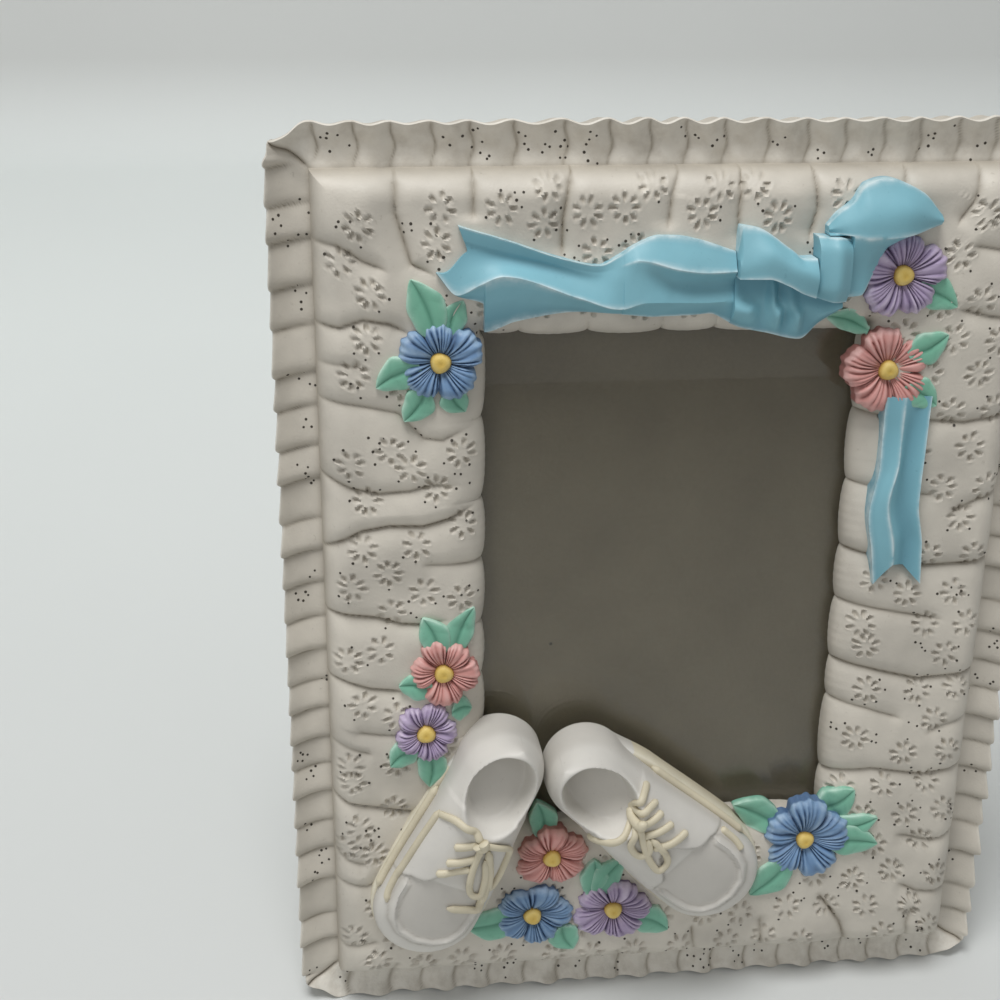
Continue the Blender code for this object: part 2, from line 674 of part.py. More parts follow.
def flower_centre(key):
    anchor, offset = FLOWERS[key][:2]
    return corner_of(anchor) + Vector(offset) * MM


def petal_gap(angle, turn):
    """0 at the middle of a petal and 1 between two petals."""
    return 1 - abs(math.cos(PETALS / 2 * (angle - math.radians(turn))))


def flower_ring(key, share):
    """Points of a flower's outline drawn in to a share of its size, with each one's petal gap."""
    half_sizes, turn = FLOWERS[key][2:4]
    middle = flower_centre(key)
    points = []
    for i in range(PETALS * PETAL_POINTS):
        angle = math.radians(turn) + 2 * math.pi * i / (PETALS * PETAL_POINTS)
        gap = petal_gap(angle, turn)
        reach = share * (1 - PETAL_NOTCH * gap ** NOTCH_SHARPNESS)
        offset = Vector((half_sizes[0] * math.cos(angle), half_sizes[1] * math.sin(angle))) * MM * reach
        points.append((middle + offset, gap))
    return points


def flower_outline(key):
    return [point for point, _ in flower_ring(key, 1.0)]


def grown(outline, distance):
    """Outline moved out by a distance on every side."""
    points = [Vector(point) for point in outline]
    following = points[1:] + points[:1]
    if sum(one.x * two.y - two.x * one.y for one, two in zip(points, following)) < 0:
        points.reverse()
    moved = []
    for i, point in enumerate(points):
        before = (point - points[i - 1]).normalized()
        after = (points[(i + 1) % len(points)] - point).normalized()
        one = Vector((before.y, -before.x))
        two = Vector((after.y, -after.x))
        moved.append(point + (one + two) / max(1 + one.dot(two), 0.35) * distance)
    return moved


def bed(name, outline, floor, stand):
    """Straight-walled space for an ornament, a clearance wider than the ornament all round."""
    return tool(plate("bed_" + name, grown(outline, CLEARANCE), floor, ABOVE_ALL), stand)


def flower(key, stand):
    """Petals dished at the throat, and the eye that sits in the throat. Gives petals and bed."""
    colour = FLOWERS[key][4]
    middle = flower_centre(key)
    fabric = fabric_height(*middle)
    throat = fabric + PETAL_RELIEF * THROAT_RISE
    levels = (
        (PETAL_FOOT, BLOOM_SEAT + CLEARANCE, 0.0), (1.0, throat, PETAL_EDGE_DIP),
        (PETAL_CREST, fabric + PETAL_RELIEF, PETAL_CREST_DIP), (THROAT_RIM, throat + THROAT_STEP, 0.0),
        (THROAT_FLOOR, throat, 0.0),
    )
    sections = [
        [at(*point, height - dip * gap) for point, gap in flower_ring(key, share)]
        for share, height, dip in levels
    ]
    petals = from_faces("flower_" + key, loft(sections), at(*middle, BLOOM_SEAT))
    adopt(petals, stand, colour)
    dome = [(EYE_RADIUS * across, EYE_HEIGHT * up) for across, up in EYE_DOME]
    eye = turned("eye_" + key, dome, at(*middle, throat + CLEARANCE), TO_FRONT)
    adopt(eye, stand, "yellow")
    return petals, bed("flower_" + key, flower_outline(key), BLOOM_SEAT, stand)


def leaf_rest(place):
    """Height that a leaf's edge follows: the fabric, or two stems over its seat at the opening."""
    return max(fabric_height(*place), SEAT + 2 * STEM_HEIGHT)


def leaf(name, root, tip, width, stand):
    """Pointed leaf with a raised midrib that starts under its flower. Gives leaf and bed."""
    along = tip - root
    length = along.length
    along.normalize()
    side = Vector((-along.y, along.x))
    blade = min(max(length * BLADE_SHARE, width * BLADE_BY_WIDTH), length - HUB_RADIUS)
    floor = SEAT + CLEARANCE
    spots = [(HUB_RADIUS - ROOT_LAP, STEM_WIDTH / 2)]
    spots += [(length - blade * (1 - share), width / 2 * spread) for share, spread in LEAF_SHAPE]
    sections = []
    left_edge = []
    right_edge = []
    for run, half in spots:
        middle = root + along * run
        edge = leaf_rest(middle) + LEAF_RELIEF * LEAF_EDGE
        rib = edge + LEAF_RELIEF * LEAF_RIB
        left_edge.append(middle + side * half)
        right_edge.append(middle - side * half)
        sections.append([
            at(*left_edge[-1], floor), at(*left_edge[-1], edge), at(*middle, rib), at(*right_edge[-1], edge),
            at(*right_edge[-1], floor),
        ])
    peak = at(*tip, leaf_rest(tip) + LEAF_RELIEF * LEAF_TIP)
    sections.append([at(*tip, floor), peak, peak, peak, at(*tip, floor)])
    made = from_faces(name, loft(sections), at(*root, floor))
    return made, bed(name, left_edge + [tip] + right_edge[::-1], SEAT, stand)


def sprig(key, stand):
    """Leaves and stems joined into one piece that lies under its flowers. Gives sprig and beds."""
    hubs, leaves = SPRIGS[key]
    floor = SEAT + CLEARANCE
    bodies = []
    beds = []
    for i, (flower_key, offset, width) in enumerate(leaves):
        tip = corner_of(FLOWERS[flower_key][0]) + Vector(offset) * MM
        blade, space = leaf(f"leaf_{key}_{i}", flower_centre(flower_key), tip, width * MM, stand)
        bodies.append(blade)
        beds.append(space)
    for i, (one, two) in enumerate(zip(hubs, hubs[1:])):
        start, end = flower_centre(one), flower_centre(two)
        along = (end - start).normalized()
        side = Vector((-along.y, along.x)) * STEM_WIDTH / 2
        outline = [start + side, end + side, end - side, start - side]
        bodies.append(plate(f"stem_{key}_{i}", outline, floor, floor + STEM_HEIGHT))
        beds.append(bed(f"stem_{key}_{i}", outline, SEAT, stand))
    for i, hub in enumerate(hubs):
        spot = flower_centre(hub)
        points = [2 * math.pi * k / HUB_SIDES for k in range(HUB_SIDES)]
        outline = [spot + Vector((math.cos(angle), math.sin(angle))) * HUB_RADIUS for angle in points]
        bodies.append(plate(f"hub_{key}_{i}", outline, floor, floor + STEM_HEIGHT))
        beds.append(bed(f"hub_{key}_{i}", outline, SEAT, stand))
    made = bodies.pop()
    made.name = "leaves_" + key
    made.data.name = made.name
    adopt(made, stand, "leaf_green")
    combine(made, [tool(body, stand) for body in bodies], "UNION")
    return made, beds


def stations(rails):
    """Every run that a rail names, none closer than a hair to the one before."""
    runs = sorted({run for rail in rails for run, _, _ in rail})
    kept = [runs[0]]
    for run in runs[1:]:
        if run - kept[-1] > 0.001:
            kept.append(run)
    return kept


def ribbon_place(run, offset, upright):
    """Place in x and v of a run and offset. Upright rails run down beside the opening."""
    if upright:
        return Vector((OPEN_X + offset * MM, OPEN_HIGH + run * MM))
    return Vector((run * OPEN_X, OPEN_HIGH + offset * MM))


def ribbon(key, stand):
    """Strip lofted along its rails, flat behind, with its end forked where it is free."""
    rails, fork, upright = RIBBONS[key]
    floor = SEAT + CLEARANCE
    sections = []
    first_edge = []
    last_edge = []
    for run in stations(rails):
        points = []
        for rail in rails:
            runs, offsets, heights = zip(*rail)
            place = ribbon_place(run, np.interp(run, runs, offsets), upright)
            points.append(at(*place, CREST + float(np.interp(run, runs, heights)) * MM))
            if rail is rails[0]:
                first_edge.append(place)
        last_edge.append(place)
        sections.append([at(*first_edge[-1], floor)] + points + [at(*place, floor)])
    made = from_faces(key, loft(sections), sections[0][0])
    adopt(made, stand, "ribbon_blue")
    space = bed(key, first_edge + last_edge[::-1], SEAT, stand)
    if fork:
        notch = [ribbon_place(run, offset, upright) for run, offset in fork]
        combine(made, [tool(plate("notch_" + key, notch, SEAT, ABOVE_ALL), stand)], "DIFFERENCE")
        infill = plate("infill_" + key, grown(notch, -CLEARANCE), SEAT - CLEARANCE, ABOVE_ALL + CLEARANCE)
        combine(space, [tool(infill, stand)], "DIFFERENCE")
    return made, space


def shoe_axes(key):
    """Heel end, heading and side of a shoe in x and v."""
    offset, heading = SHOES[key]
    angle = math.radians(heading)
    along = Vector((math.sin(angle), -math.cos(angle)))
    side = Vector((along.y, -along.x))
    heel = corner_of((-1, -1)) + Vector(offset) * MM - along * HEEL_RADIUS
    return heel, along, side


def shoe_half_width(run):
    """Half width of the upper along the shoe: round heel, slim waist and broad toe."""
    toe_start = SHOE_LENGTH - TOE_RADIUS
    if run < HEEL_RADIUS:
        return math.sqrt(max(HEEL_RADIUS ** 2 - (HEEL_RADIUS - run) ** 2, 0.0))
    if run > toe_start:
        return math.sqrt(max(TOE_RADIUS ** 2 - (run - toe_start) ** 2, 0.0))
    share = (run - HEEL_RADIUS) / (toe_start - HEEL_RADIUS)
    return HEEL_RADIUS + (TOE_RADIUS - HEEL_RADIUS) * share * share * (3 - 2 * share)


def shoe_crown(run):
    """Height of the upper's ridge above the sole."""
    shares, heights = zip(*SHOE_CROWN)
    return float(np.interp(run / SHOE_LENGTH, shares, heights)) * MM


def shoe_runs():
    """Runs along the shoe between its ends, closer at its round ends."""
    return [SHOE_LENGTH * (1 - math.cos(math.pi * i / SHOE_STEPS)) / 2 for i in range(1, SHOE_STEPS)]


def sole_outline(key):
    """Outline of the sole. It stands out past the upper as a welt everywhere but round the heel."""
    heel, along, side = shoe_axes(key)
    near = []
    far = []
    for run in shoe_runs():
        welt = WELT * min(max(run / HEEL_RADIUS - 1, 0.0), 1.0)
        place = heel + along * (run + welt * run / SHOE_LENGTH)
        half = shoe_half_width(run) + welt
        near.append(place + side * half)
        far.append(place - side * half)
    return near + [heel + along * (SHOE_LENGTH + WELT)] + far[::-1] + [heel]


def upper_height(run, across):
    """Height of the upper's skin above the sole."""
    share = min(abs(across) / max(shoe_half_width(run), 0.0001), 1.0)
    return shoe_crown(run) * (1 - share ** UPPER_SQUARENESS) ** 0.5


def shoe_point(key, run, across, height):
    heel, along, side = shoe_axes(key)
    return at(*(heel + along * run + side * across), SEAT + SOLE_THICKNESS + 2 * CLEARANCE + height)


def lace_point(key, run, across):
    """Middle of a lace that lies on the upper."""
    step = LACE_RADIUS
    slope = (upper_height(run, abs(across) + step) - upper_height(run, abs(across) - step)) / (2 * step)
    lift = (LACE_RADIUS + LACE_GAP) * math.hypot(1, slope)
    return shoe_point(key, run, across, upper_height(run, across) + lift)


def ball(name, centre, along, half_sizes, sides=16):
    """Ball stretched along a heading in x and v."""
    bpy.ops.mesh.primitive_uv_sphere_add(segments=sides, ring_count=sides // 2, radius=1)
    made = bpy.context.object
    made.name = name
    heading = at(along.x, along.y, 0)
    outward = at(0, 0, 1)
    axes = (heading * half_sizes[0], outward.cross(heading) * half_sizes[1], outward * half_sizes[2])
    made.data.transform(Matrix(axes).transposed().to_4x4())
    made.location = centre
    return made


def shoe_upper(key, stand):
    """Upper with its foot opening, tongue and toe rim."""
    sections = []
    for run in shoe_runs():
        half = shoe_half_width(run)
        spread = [half * math.cos(math.pi * i / SHOE_ARC) for i in range(SHOE_ARC + 1)]
        sections.append([shoe_point(key, run, across, upper_height(run, across)) for across in spread])
    made = from_faces(f"shoe_{key}_upper", loft(sections), shoe_point(key, 0.0, 0.0, 0.0))
    adopt(made, stand, "shoe_white")
    along = shoe_axes(key)[1]
    middle = SHOE_WALL + SHOE_OPENING / 2
    crown = shoe_crown(middle)
    half_sizes = (SHOE_OPENING / 2, shoe_half_width(middle) - SHOE_WALL, crown - SHOE_WALL)
    hollow = ball(f"hollow_{key}", shoe_point(key, middle, 0.0, crown), along, half_sizes)
    combine(made, [tool(hollow, stand)], "DIFFERENCE")
    front = SHOE_WALL + SHOE_OPENING
    tongue = ball(
        f"tongue_{key}", shoe_point(key, front, 0.0, shoe_crown(front) - TONGUE_SIZE / 4), along,
        (TONGUE_SIZE, TONGUE_SIZE, TONGUE_SIZE / 2), 12)
    toe_start = SHOE_LENGTH - TOE_RADIUS
    rim_points = []
    for i in range(TOE_POINTS + 1):
        angle = math.radians(-TOE_RIM_TURN + 2 * TOE_RIM_TURN * i / TOE_POINTS)
        run = toe_start + TOE_RADIUS * TOE_RIM_SHARE * math.cos(angle)
        across = TOE_RADIUS * TOE_RIM_SHARE * math.sin(angle)
        rim_points.append(shoe_point(key, run, across, upper_height(run, across)))
    rim = tube(f"toe_rim_{key}", rim_points, TOE_RIM_RADIUS, rim_points[0])
    combine(made, [tool(tongue, stand), tool(rim, stand)], "UNION")


def shoe_laces(key, stand):
    """Lace across the instep in square turns, with a knot and two loops."""
    bars = [SHOE_LENGTH * share for share in LACE_BARS]
    route = []
    for i, run in enumerate(bars):
        reach = LACE_REACH if i % 2 else -LACE_REACH
        route += [(run, reach * (k * 2 / (BAR_POINTS - 1) - 1)) for k in range(BAR_POINTS)]
    knot_run = bars[-1] - LACE_DROP
    route += [(knot_run, route[-1][1] * LACE_END), (knot_run, 0.0)]
    path = [lace_point(key, run, across) for run, across in route]
    lace = tube(f"shoe_{key}_laces", path, LACE_RADIUS, path[0])
    adopt(lace, stand, "lace_cream")
    along = shoe_axes(key)[1]
    knot = ball(f"lace_knot_{key}", lace_point(key, knot_run, 0.0), along, [LACE_RADIUS * LACE_KNOT] * 3, 8)
    extras = [tool(knot, stand)]
    for hand in (-1, 1):
        loop_points = []
        for i in range(LOOP_POINTS):
            angle = 2 * math.pi * i / LOOP_POINTS
            reach = hand * LACE_LOOP * (1 - math.cos(angle)) / 2
            run = knot_run + LACE_LOOP * LACE_LOOP_SLIMNESS * math.sin(angle)
            loop_points.append(lace_point(key, run, reach))
        loop = tube(f"lace_loop_{key}_{hand + 1}", loop_points, LACE_RADIUS, loop_points[0], cyclic=True)
        extras.append(tool(loop, stand))
    combine(lace, extras, "UNION")


def shoe(key, stand):
    """Sole, upper and laces. Gives the sole's bed."""
    outline = sole_outline(key)
    low = SEAT + CLEARANCE
    sole = plate(f"shoe_{key}_sole", outline, low, low + SOLE_THICKNESS, tuple(shoe_axes(key)[0]))
    adopt(sole, stand, "sole_cream")
    shoe_upper(key, stand)
    shoe_laces(key, stand)
    return bed(f"shoe_{key}", outline, SEAT, stand)


def screw_profile(head_radius, head_height, radius, length):
    """Domed head over a plain shank, run down its outer side."""
    head = [(head_radius * across, head_height * up) for across, up in SCREW_DOME]
    return head + [(radius, 0), (radius, -length), (0, -length)]


def turn_buttons(stand):
    """Four buttons that hold the back in, each on its own screw. Gives the screws' bores."""
    outline = []
    straight = (BUTTON_LENGTH - BUTTON_WIDTH) / 2
    for end in (1, -1):
        for i in range(BUTTON_ROUND + 1):
            angle = math.radians(-90 + 180 * i / BUTTON_ROUND)
            reach = straight + BUTTON_WIDTH / 2 * math.cos(angle)
            outline.append((end * reach, end * BUTTON_WIDTH / 2 * math.sin(angle)))
    back = -CLEARANCE - BUTTON_THICKNESS
    profile = screw_profile(
        SCREW_HEAD_RADIUS, SCREW_HEAD_HEIGHT, SCREW_RADIUS, 2 * CLEARANCE + BUTTON_THICKNESS + SCREW_GRIP)
    bores = []
    for hand, side in ((-1, "left"), (1, "right")):
        for height, level in ((BUTTON_LOW, "low"), (BUTTON_HIGH, "high")):
            x = hand * (REBATE_X + BUTTON_OFFSET)
            placed = [(x + along, height + across) for along, across in outline]
            button = plate(f"turn_button_{side}_{level}", placed, back, -CLEARANCE, (x, height))
            adopt(button, stand, "brass")
            bore = rod(
                f"bore_{side}_{level}", SCREW_RADIUS + CLEARANCE, 2 * (SCREW_GRIP + CLEARANCE),
                at(x, height, 0), TO_FRONT)
            bores.append(tool(bore, stand))
            combine(button, [bore], "DIFFERENCE")
            screw = turned(f"button_screw_{side}_{level}", profile, at(x, height, back - CLEARANCE), TO_BACK)
            adopt(screw, stand, "steel")
    return bores


def rivets(label, stand, v, face, depth):
    """Two domed rivets whose heads lie on a face, and the bores they need."""
    bores = []
    profile = screw_profile(RIVET_HEAD_RADIUS, RIVET_HEAD_HEIGHT, RIVET_RADIUS, depth)
    for hand, side in ((-1, "left"), (1, "right")):
        x = hand * RIVET_SPACING / 2
        rivet = turned(f"rivet_{label}_{side}", profile, at(x, v, face - CLEARANCE), TO_BACK)
        adopt(rivet, stand, "steel")
        length = depth + 2 * CLEARANCE + LEAF_THICKNESS
        middle = at(x, v, face - LEAF_THICKNESS / 2 + depth / 2)
        bore = rod(f"bore_{label}_{side}", RIVET_RADIUS + CLEARANCE, length, middle, TO_FRONT)
        bores.append(tool(bore, stand))
    return bores


def easel_back(stand, pivot, floor_cut):
    """Back board with its skin, and the leg on its hinge. The leg is modelled shut and turned open."""
    half_x = PRINT_WIDTH / 2
    half_v = PRINT_HEIGHT / 2
    v_span = (OPEN_MIDDLE - half_v, OPEN_MIDDLE + half_v)
    x_span = (-half_x, half_x)
    board = box("easel_back_board", x_span, v_span, (BOARD_BACK, BOARD_BACK + BOARD_THICKNESS))
    velvet = box("back_velvet", x_span, v_span, (0, VELVET_THICKNESS))
    adopt(board, stand, "black_board")
    adopt(velvet, stand, "velvet_grey")

    knuckle = LEAF_WIDTH * KNUCKLE_SHARE / 2
    leaf_x = (-LEAF_WIDTH / 2, LEAF_WIDTH / 2)
    leaf_face = -CLEARANCE - LEAF_THICKNESS
    along_x = (0, math.radians(90), 0)
    rivet_depth = 4 * CLEARANCE + LEAF_THICKNESS + VELVET_THICKNESS + BOARD_THICKNESS * RIVET_BITE
    back_bores = rivets(
        "back", stand, HINGE_HEIGHT + LEAF_LENGTH - RIVET_INSET, leaf_face, rivet_depth)
    combine(board, back_bores, "DIFFERENCE")
    combine(velvet, back_bores, "DIFFERENCE")

    back_leaf = box(
        "hinge_leaf_back", leaf_x, (HINGE_HEIGHT, HINGE_HEIGHT + LEAF_LENGTH), (leaf_face, -CLEARANCE))
    adopt(back_leaf, stand, "steel")
    wraps = []
    for hand in (-1, 1):
        ends = sorted((hand * (knuckle + CLEARANCE), hand * LEAF_WIDTH / 2))
        middle = at(sum(ends) / 2, HINGE_HEIGHT, -PIN_BACK)
        wraps.append(rod(f"knuckle_back_{hand + 1}", KNUCKLE_RADIUS, ends[1] - ends[0], middle, along_x))
        wraps.append(box(
            f"knuckle_root_{hand + 1}", ends, (HINGE_HEIGHT, HINGE_HEIGHT + KNUCKLE_RADIUS),
            (-PIN_BACK, -CLEARANCE - LEAF_THICKNESS / 2)))
    notch = box(
        "knuckle_notch", (-knuckle - CLEARANCE, knuckle + CLEARANCE),
        (HINGE_HEIGHT - KNUCKLE_RADIUS, HINGE_HEIGHT + KNUCKLE_RADIUS + CLEARANCE),
        (-2 * PIN_BACK, PIN_BACK))
    bore = rod("pin_bore", PIN_RADIUS + PIN_PLAY, LEAF_WIDTH * 2, at(0, HINGE_HEIGHT, -PIN_BACK), along_x)
    combine(back_leaf, [tool(wrap, stand) for wrap in wraps], "UNION")
    combine(back_leaf, [tool(notch, stand), tool(bore, stand)] + back_bores, "DIFFERENCE")

    pin = rod("hinge_pin", PIN_RADIUS, LEAF_WIDTH + 2 * PIN_RADIUS, at(0, HINGE_HEIGHT, -PIN_BACK), along_x)
    adopt(pin, stand, "steel")

    leg_leaf_face = -KNUCKLE_RADIUS
    neck = KNUCKLE_RADIUS + CLEARANCE
    leg_leaf = box(
        "hinge_leaf_leg", leaf_x, (-LEAF_LENGTH, -neck), (leg_leaf_face, leg_leaf_face + LEAF_THICKNESS))
    adopt(leg_leaf, pivot, "steel")
    neck_plate = box(
        "leg_neck", (-knuckle, knuckle), (-neck - LEAF_THICKNESS, 0),
        (leg_leaf_face, leg_leaf_face + LEAF_THICKNESS))
    leg_knuckle = rod("knuckle_leg", KNUCKLE_RADIUS, 2 * knuckle, (0, 0, 0), along_x)
    stop_face = leaf_face - CLEARANCE
    stop = box(
        "leg_stop", (-knuckle, knuckle), (HINGE_HEIGHT, HINGE_HEIGHT + STOP_LENGTH),
        (stop_face - LEAF_THICKNESS, stop_face))
    combine(leg_leaf, [tool(neck_plate, pivot), tool(leg_knuckle, pivot), tool(stop, stand)], "UNION")
    rivet_v = RIVET_INSET - LEAF_LENGTH
    leg_bores = rivets("leg", pivot, rivet_v, leg_leaf_face, rivet_depth)
    combine(leg_leaf, [bore] + leg_bores, "DIFFERENCE")

    top = -LEG_TOP_GAP
    foot = -(LEG_REACH + LEG_THICKNESS + PIN_BACK)
    outline = [
        (-LEG_TOP_WIDTH / 2, top), (LEG_TOP_WIDTH / 2, top), (LEG_FOOT_WIDTH / 2, foot),
        (-LEG_FOOT_WIDTH / 2, foot),
    ]
    skin_low = leg_leaf_face + LEAF_THICKNESS + CLEARANCE
    board_low = skin_low + VELVET_THICKNESS + CLEARANCE
    leg = plate("easel_leg_board", outline, board_low, board_low + LEG_THICKNESS, (0.0, top))
    adopt(leg, pivot, "black_board")
    combine(leg, leg_bores + [floor_cut], "DIFFERENCE")
    skin_outline = grown(outline, -2 * CLEARANCE)
    skin = plate("leg_velvet", skin_outline, skin_low, skin_low + VELVET_THICKNESS, (0.0, top))
    adopt(skin, pivot, "velvet_grey")
    hem = box(
        "leg_hem", (-LEG_FOOT_WIDTH, LEG_FOOT_WIDTH), (2 * foot, HEM_GAP - LEG_REACH),
        (-PIN_BACK * 2, PIN_BACK * 2))
    combine(skin, leg_bores + [tool(hem, pivot)], "DIFFERENCE")


def empty(name, parent=None, location=(0, 0, 0), tilt=0.0):
    """Empty turned about X by an angle in degrees."""
    made = bpy.data.objects.new(name, None)
    GROUPS["parts"].objects.link(made)
    made.parent = parent
    made.location = location
    made.rotation_euler = (math.radians(tilt), 0, 0)
    return made


def centre_on_ground(root):
    """Put the middle of the object's outer box over the world's origin."""
    bpy.context.view_layer.update()
    graph = bpy.context.evaluated_depsgraph_get()
    corners = []
    for piece in GROUPS["parts"].objects:
        if piece.type == "MESH":
            seen = piece.evaluated_get(graph)
            corners += [seen.matrix_world @ vertex.co for vertex in seen.data.vertices]
    for axis in (0, 1):
        values = [corner[axis] for corner in corners]
        root.location[axis] = -(min(values) + max(values)) / 2


def build():
    clear_scene()
    GROUPS["parts"] = group("baby_photo_frame")
    GROUPS["cutters"] = group("cutters")
    root = empty("stand_point")
    lean = empty("frame_lean", root, (0, 0, -FOOT_CUT), -LEAN)
    pivot = empty("leg_pivot", lean, at(0, HINGE_HEIGHT, -PIN_BACK), LEG_OPENING)
    floor_cut = box(
        "floor_cut", (-FRAME_WIDTH, FRAME_WIDTH), (-FRAME_HEIGHT, 0), (-FRAME_HEIGHT, FRAME_HEIGHT))
    tool(floor_cut, root)

    x_span = (-PRINT_WIDTH / 2, PRINT_WIDTH / 2)
    v_span = (OPEN_MIDDLE - PRINT_HEIGHT / 2, OPEN_MIDDLE + PRINT_HEIGHT / 2)
    adopt(box("glass_pane", x_span, v_span, (GLASS_BACK, GLASS_BACK + GLASS_THICKNESS)), lean, "clear_glass")
    adopt(box("backing_card", x_span, v_span, (CARD_BACK, CARD_BACK + CARD_THICKNESS)), lean, "chipboard")
    easel_back(lean, pivot, floor_cut)
    bores = turn_buttons(lean)

    shoe_beds = [shoe(key, lean) for key in SHOES]
    ribbon_beds = [ribbon(key, lean)[1] for key in RIBBONS]
    flower_beds = []
    for key in FLOWERS:
        petals, space = flower(key, lean)
        combine(petals, shoe_beds + ribbon_beds, "DIFFERENCE")
        flower_beds.append(space)
    leaf_beds = []
    for key in SPRIGS:
        leaves, spaces = sprig(key, lean)
        combine(leaves, shoe_beds + ribbon_beds + flower_beds, "DIFFERENCE")
        leaf_beds += spaces

    casting = adopt(panel_block(), lean, "resin_ivory")
    combine(casting, [tool(ruffle_ring(), lean)], "UNION")
    behind = box("behind", (-FRAME_WIDTH, FRAME_WIDTH), (-FRAME_HEIGHT, 2 * FRAME_HEIGHT), (2 * BELOW_ALL, 0))
    rebate = box(
        "rebate", (-REBATE_X, REBATE_X), (v_span[0] - REBATE_PLAY, v_span[1] + REBATE_PLAY),
        (BELOW_ALL, LEDGE))
    cuts = [tool(behind, lean), tool(rebate, lean), floor_cut]
    combine(casting, cuts + bores + shoe_beds + ribbon_beds + flower_beds + leaf_beds, "DIFFERENCE")

    for piece in GROUPS["parts"].objects:
        if piece.type == "MESH":
            piece.data.shade_smooth()
            piece.data.set_sharp_from_angle(angle=math.radians(SMOOTH_ANGLE))
    start_combinations()
    centre_on_ground(root)


GROUPS = {}
COMBINATIONS = []
build()
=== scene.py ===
"""Looks of the baby photo frame: gathered eyelet relief, bow, flowers, leaves and baby shoes.

Places are written in the frame's own axes in millimetres: x to the right, v up the front and w from
the flat back towards the viewer. spot() turns them into the world's metres.
"""

import math

import bmesh
import bpy
import numpy as np
from mathutils import Matrix, Vector


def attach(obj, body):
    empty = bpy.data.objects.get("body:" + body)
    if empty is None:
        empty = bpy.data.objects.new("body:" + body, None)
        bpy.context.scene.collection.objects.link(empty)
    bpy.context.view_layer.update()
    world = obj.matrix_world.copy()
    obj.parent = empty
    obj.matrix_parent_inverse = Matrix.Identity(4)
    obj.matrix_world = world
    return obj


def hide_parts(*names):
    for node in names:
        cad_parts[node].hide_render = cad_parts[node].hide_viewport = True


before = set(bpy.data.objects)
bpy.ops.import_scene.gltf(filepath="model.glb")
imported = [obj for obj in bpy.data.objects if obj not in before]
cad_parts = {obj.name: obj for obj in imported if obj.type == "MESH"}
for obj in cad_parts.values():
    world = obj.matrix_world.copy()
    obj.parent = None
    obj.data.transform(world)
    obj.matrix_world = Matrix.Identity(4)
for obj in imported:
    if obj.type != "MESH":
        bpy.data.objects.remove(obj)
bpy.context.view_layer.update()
scene = bpy.context.scene

# The frame's own axes in the world, at its lean of 12 degrees
LEAN = math.radians(12)
UP = np.array((0.0, math.sin(LEAN), math.cos(LEAN)))
OUT = np.array((0.0, -math.cos(LEAN), math.sin(LEAN)))
ORIGIN = np.array((0.0, -0.0233007, -0.001))

# Sizes of the source, in mm
OPEN_X, OPEN_LOW, OPEN_HIGH = 42.5, 49.0, 172.0
EDGE_X, FRAME_HEIGHT = 86.5, 215.0
SEAM_X, SEAM_LOW, SEAM_HIGH, RUFFLE_WIDTH = 77.5, 9.0, 206.0, 9.0
REBATE_X, REBATE_LOW, REBATE_HIGH = 44.9, 46.6, 174.4
LEDGE, LIP_FRONT, CREST, SEAM_HEIGHT = 7.3, 9.7, 16.0, 8.8
OUTER_ROLL, INNER_ROLL, CORNER_ROUND = 6.0, 12.0, 9.0
SEAT, BLOOM_FLOOR = 11.0, 12.6
SOLE_LOW, SOLE_THICKNESS, SHOE_BASE = 11.3, 5.8, 17.4
SHOE_LENGTH, HEEL_RADIUS, TOE_RADIUS, WELT = 65.2, 10.3, 13.0, 1.4
TOE_START = SHOE_LENGTH - TOE_RADIUS

# Forms of the relief, lengths in mm
# The second of these is the strength of the painted shade in the creases
LIP_SWELL, FOLD_SHADE, OVERHANG = 1.35, 0.8, 0.9
DAISY_GAP, DAISY_REACH, DASH_LENGTH, DASH_WIDTH, DASH_RIM = 10.8, 2.35, 1.05, 0.56, 0.22
HOLE_RADII, HOLE_SPREAD, HOLE_GAP, HOLE_DEPTH = (0.24, 0.33), 1.8, 0.95, 0.4
PLEAT_FLARE, PLEAT_LIFT, PLEAT_EDGE_LIFT, CORNER_DROOP = 8.0, 0.55, 1.55, 3.6

# Steps of the relief
PANEL_ROWS, SIDE_COLUMNS, TOP_COLUMNS = 92, 500, 400
RUFFLE_ROWS, RUFFLE_SIDE, RUFFLE_TOP = 20, 520, 420
HOLE_SIDES, PANEL_CLUSTERS, RUFFLE_CLUSTERS = 10, 14, 26
# Step of a cord's points in metres, passes that soften it, and the least height of a point in metres
CORD_STEP, CORD_PASSES, GROUND = 0.00035, 12, 0.0001
# Sides clockwise from the left, and the way out on each
SIDES = ("left", "top", "right", "bottom")
UPRIGHT = ("left", "right")
AWAY = {"left": (-1, 0), "top": (0, 1), "right": (1, 0), "bottom": (0, -1)}

rng = np.random.default_rng(7)


def spot(x, v, w):
    """World points in metres of places in the frame's axes."""
    x, v, w = np.broadcast_arrays(*(np.asarray(value, float) for value in (x, v, w)))
    return np.stack([x, v * UP[1] + w * OUT[1], v * UP[2] + w * OUT[2]], -1) * 0.001 + ORIGIN


def segment(stops, at):
    """Which pair of stops each value lies between, and how far along it lies, from 0 to 1."""
    k = np.clip(np.searchsorted(stops, at) - 1, 0, len(stops) - 2)
    return k, clamp((at - stops[k]) / (stops[k + 1] - stops[k]))


def bend_between(one, two, leave, arrive, t):
    """Smooth run from one to two that leaves and arrives at the given slopes."""
    first = one * (2 * t ** 3 - 3 * t ** 2 + 1) + leave * (t ** 3 - 2 * t ** 2 + t)
    return first + two * (3 * t ** 2 - 2 * t ** 3) + arrive * (t ** 3 - t ** 2)


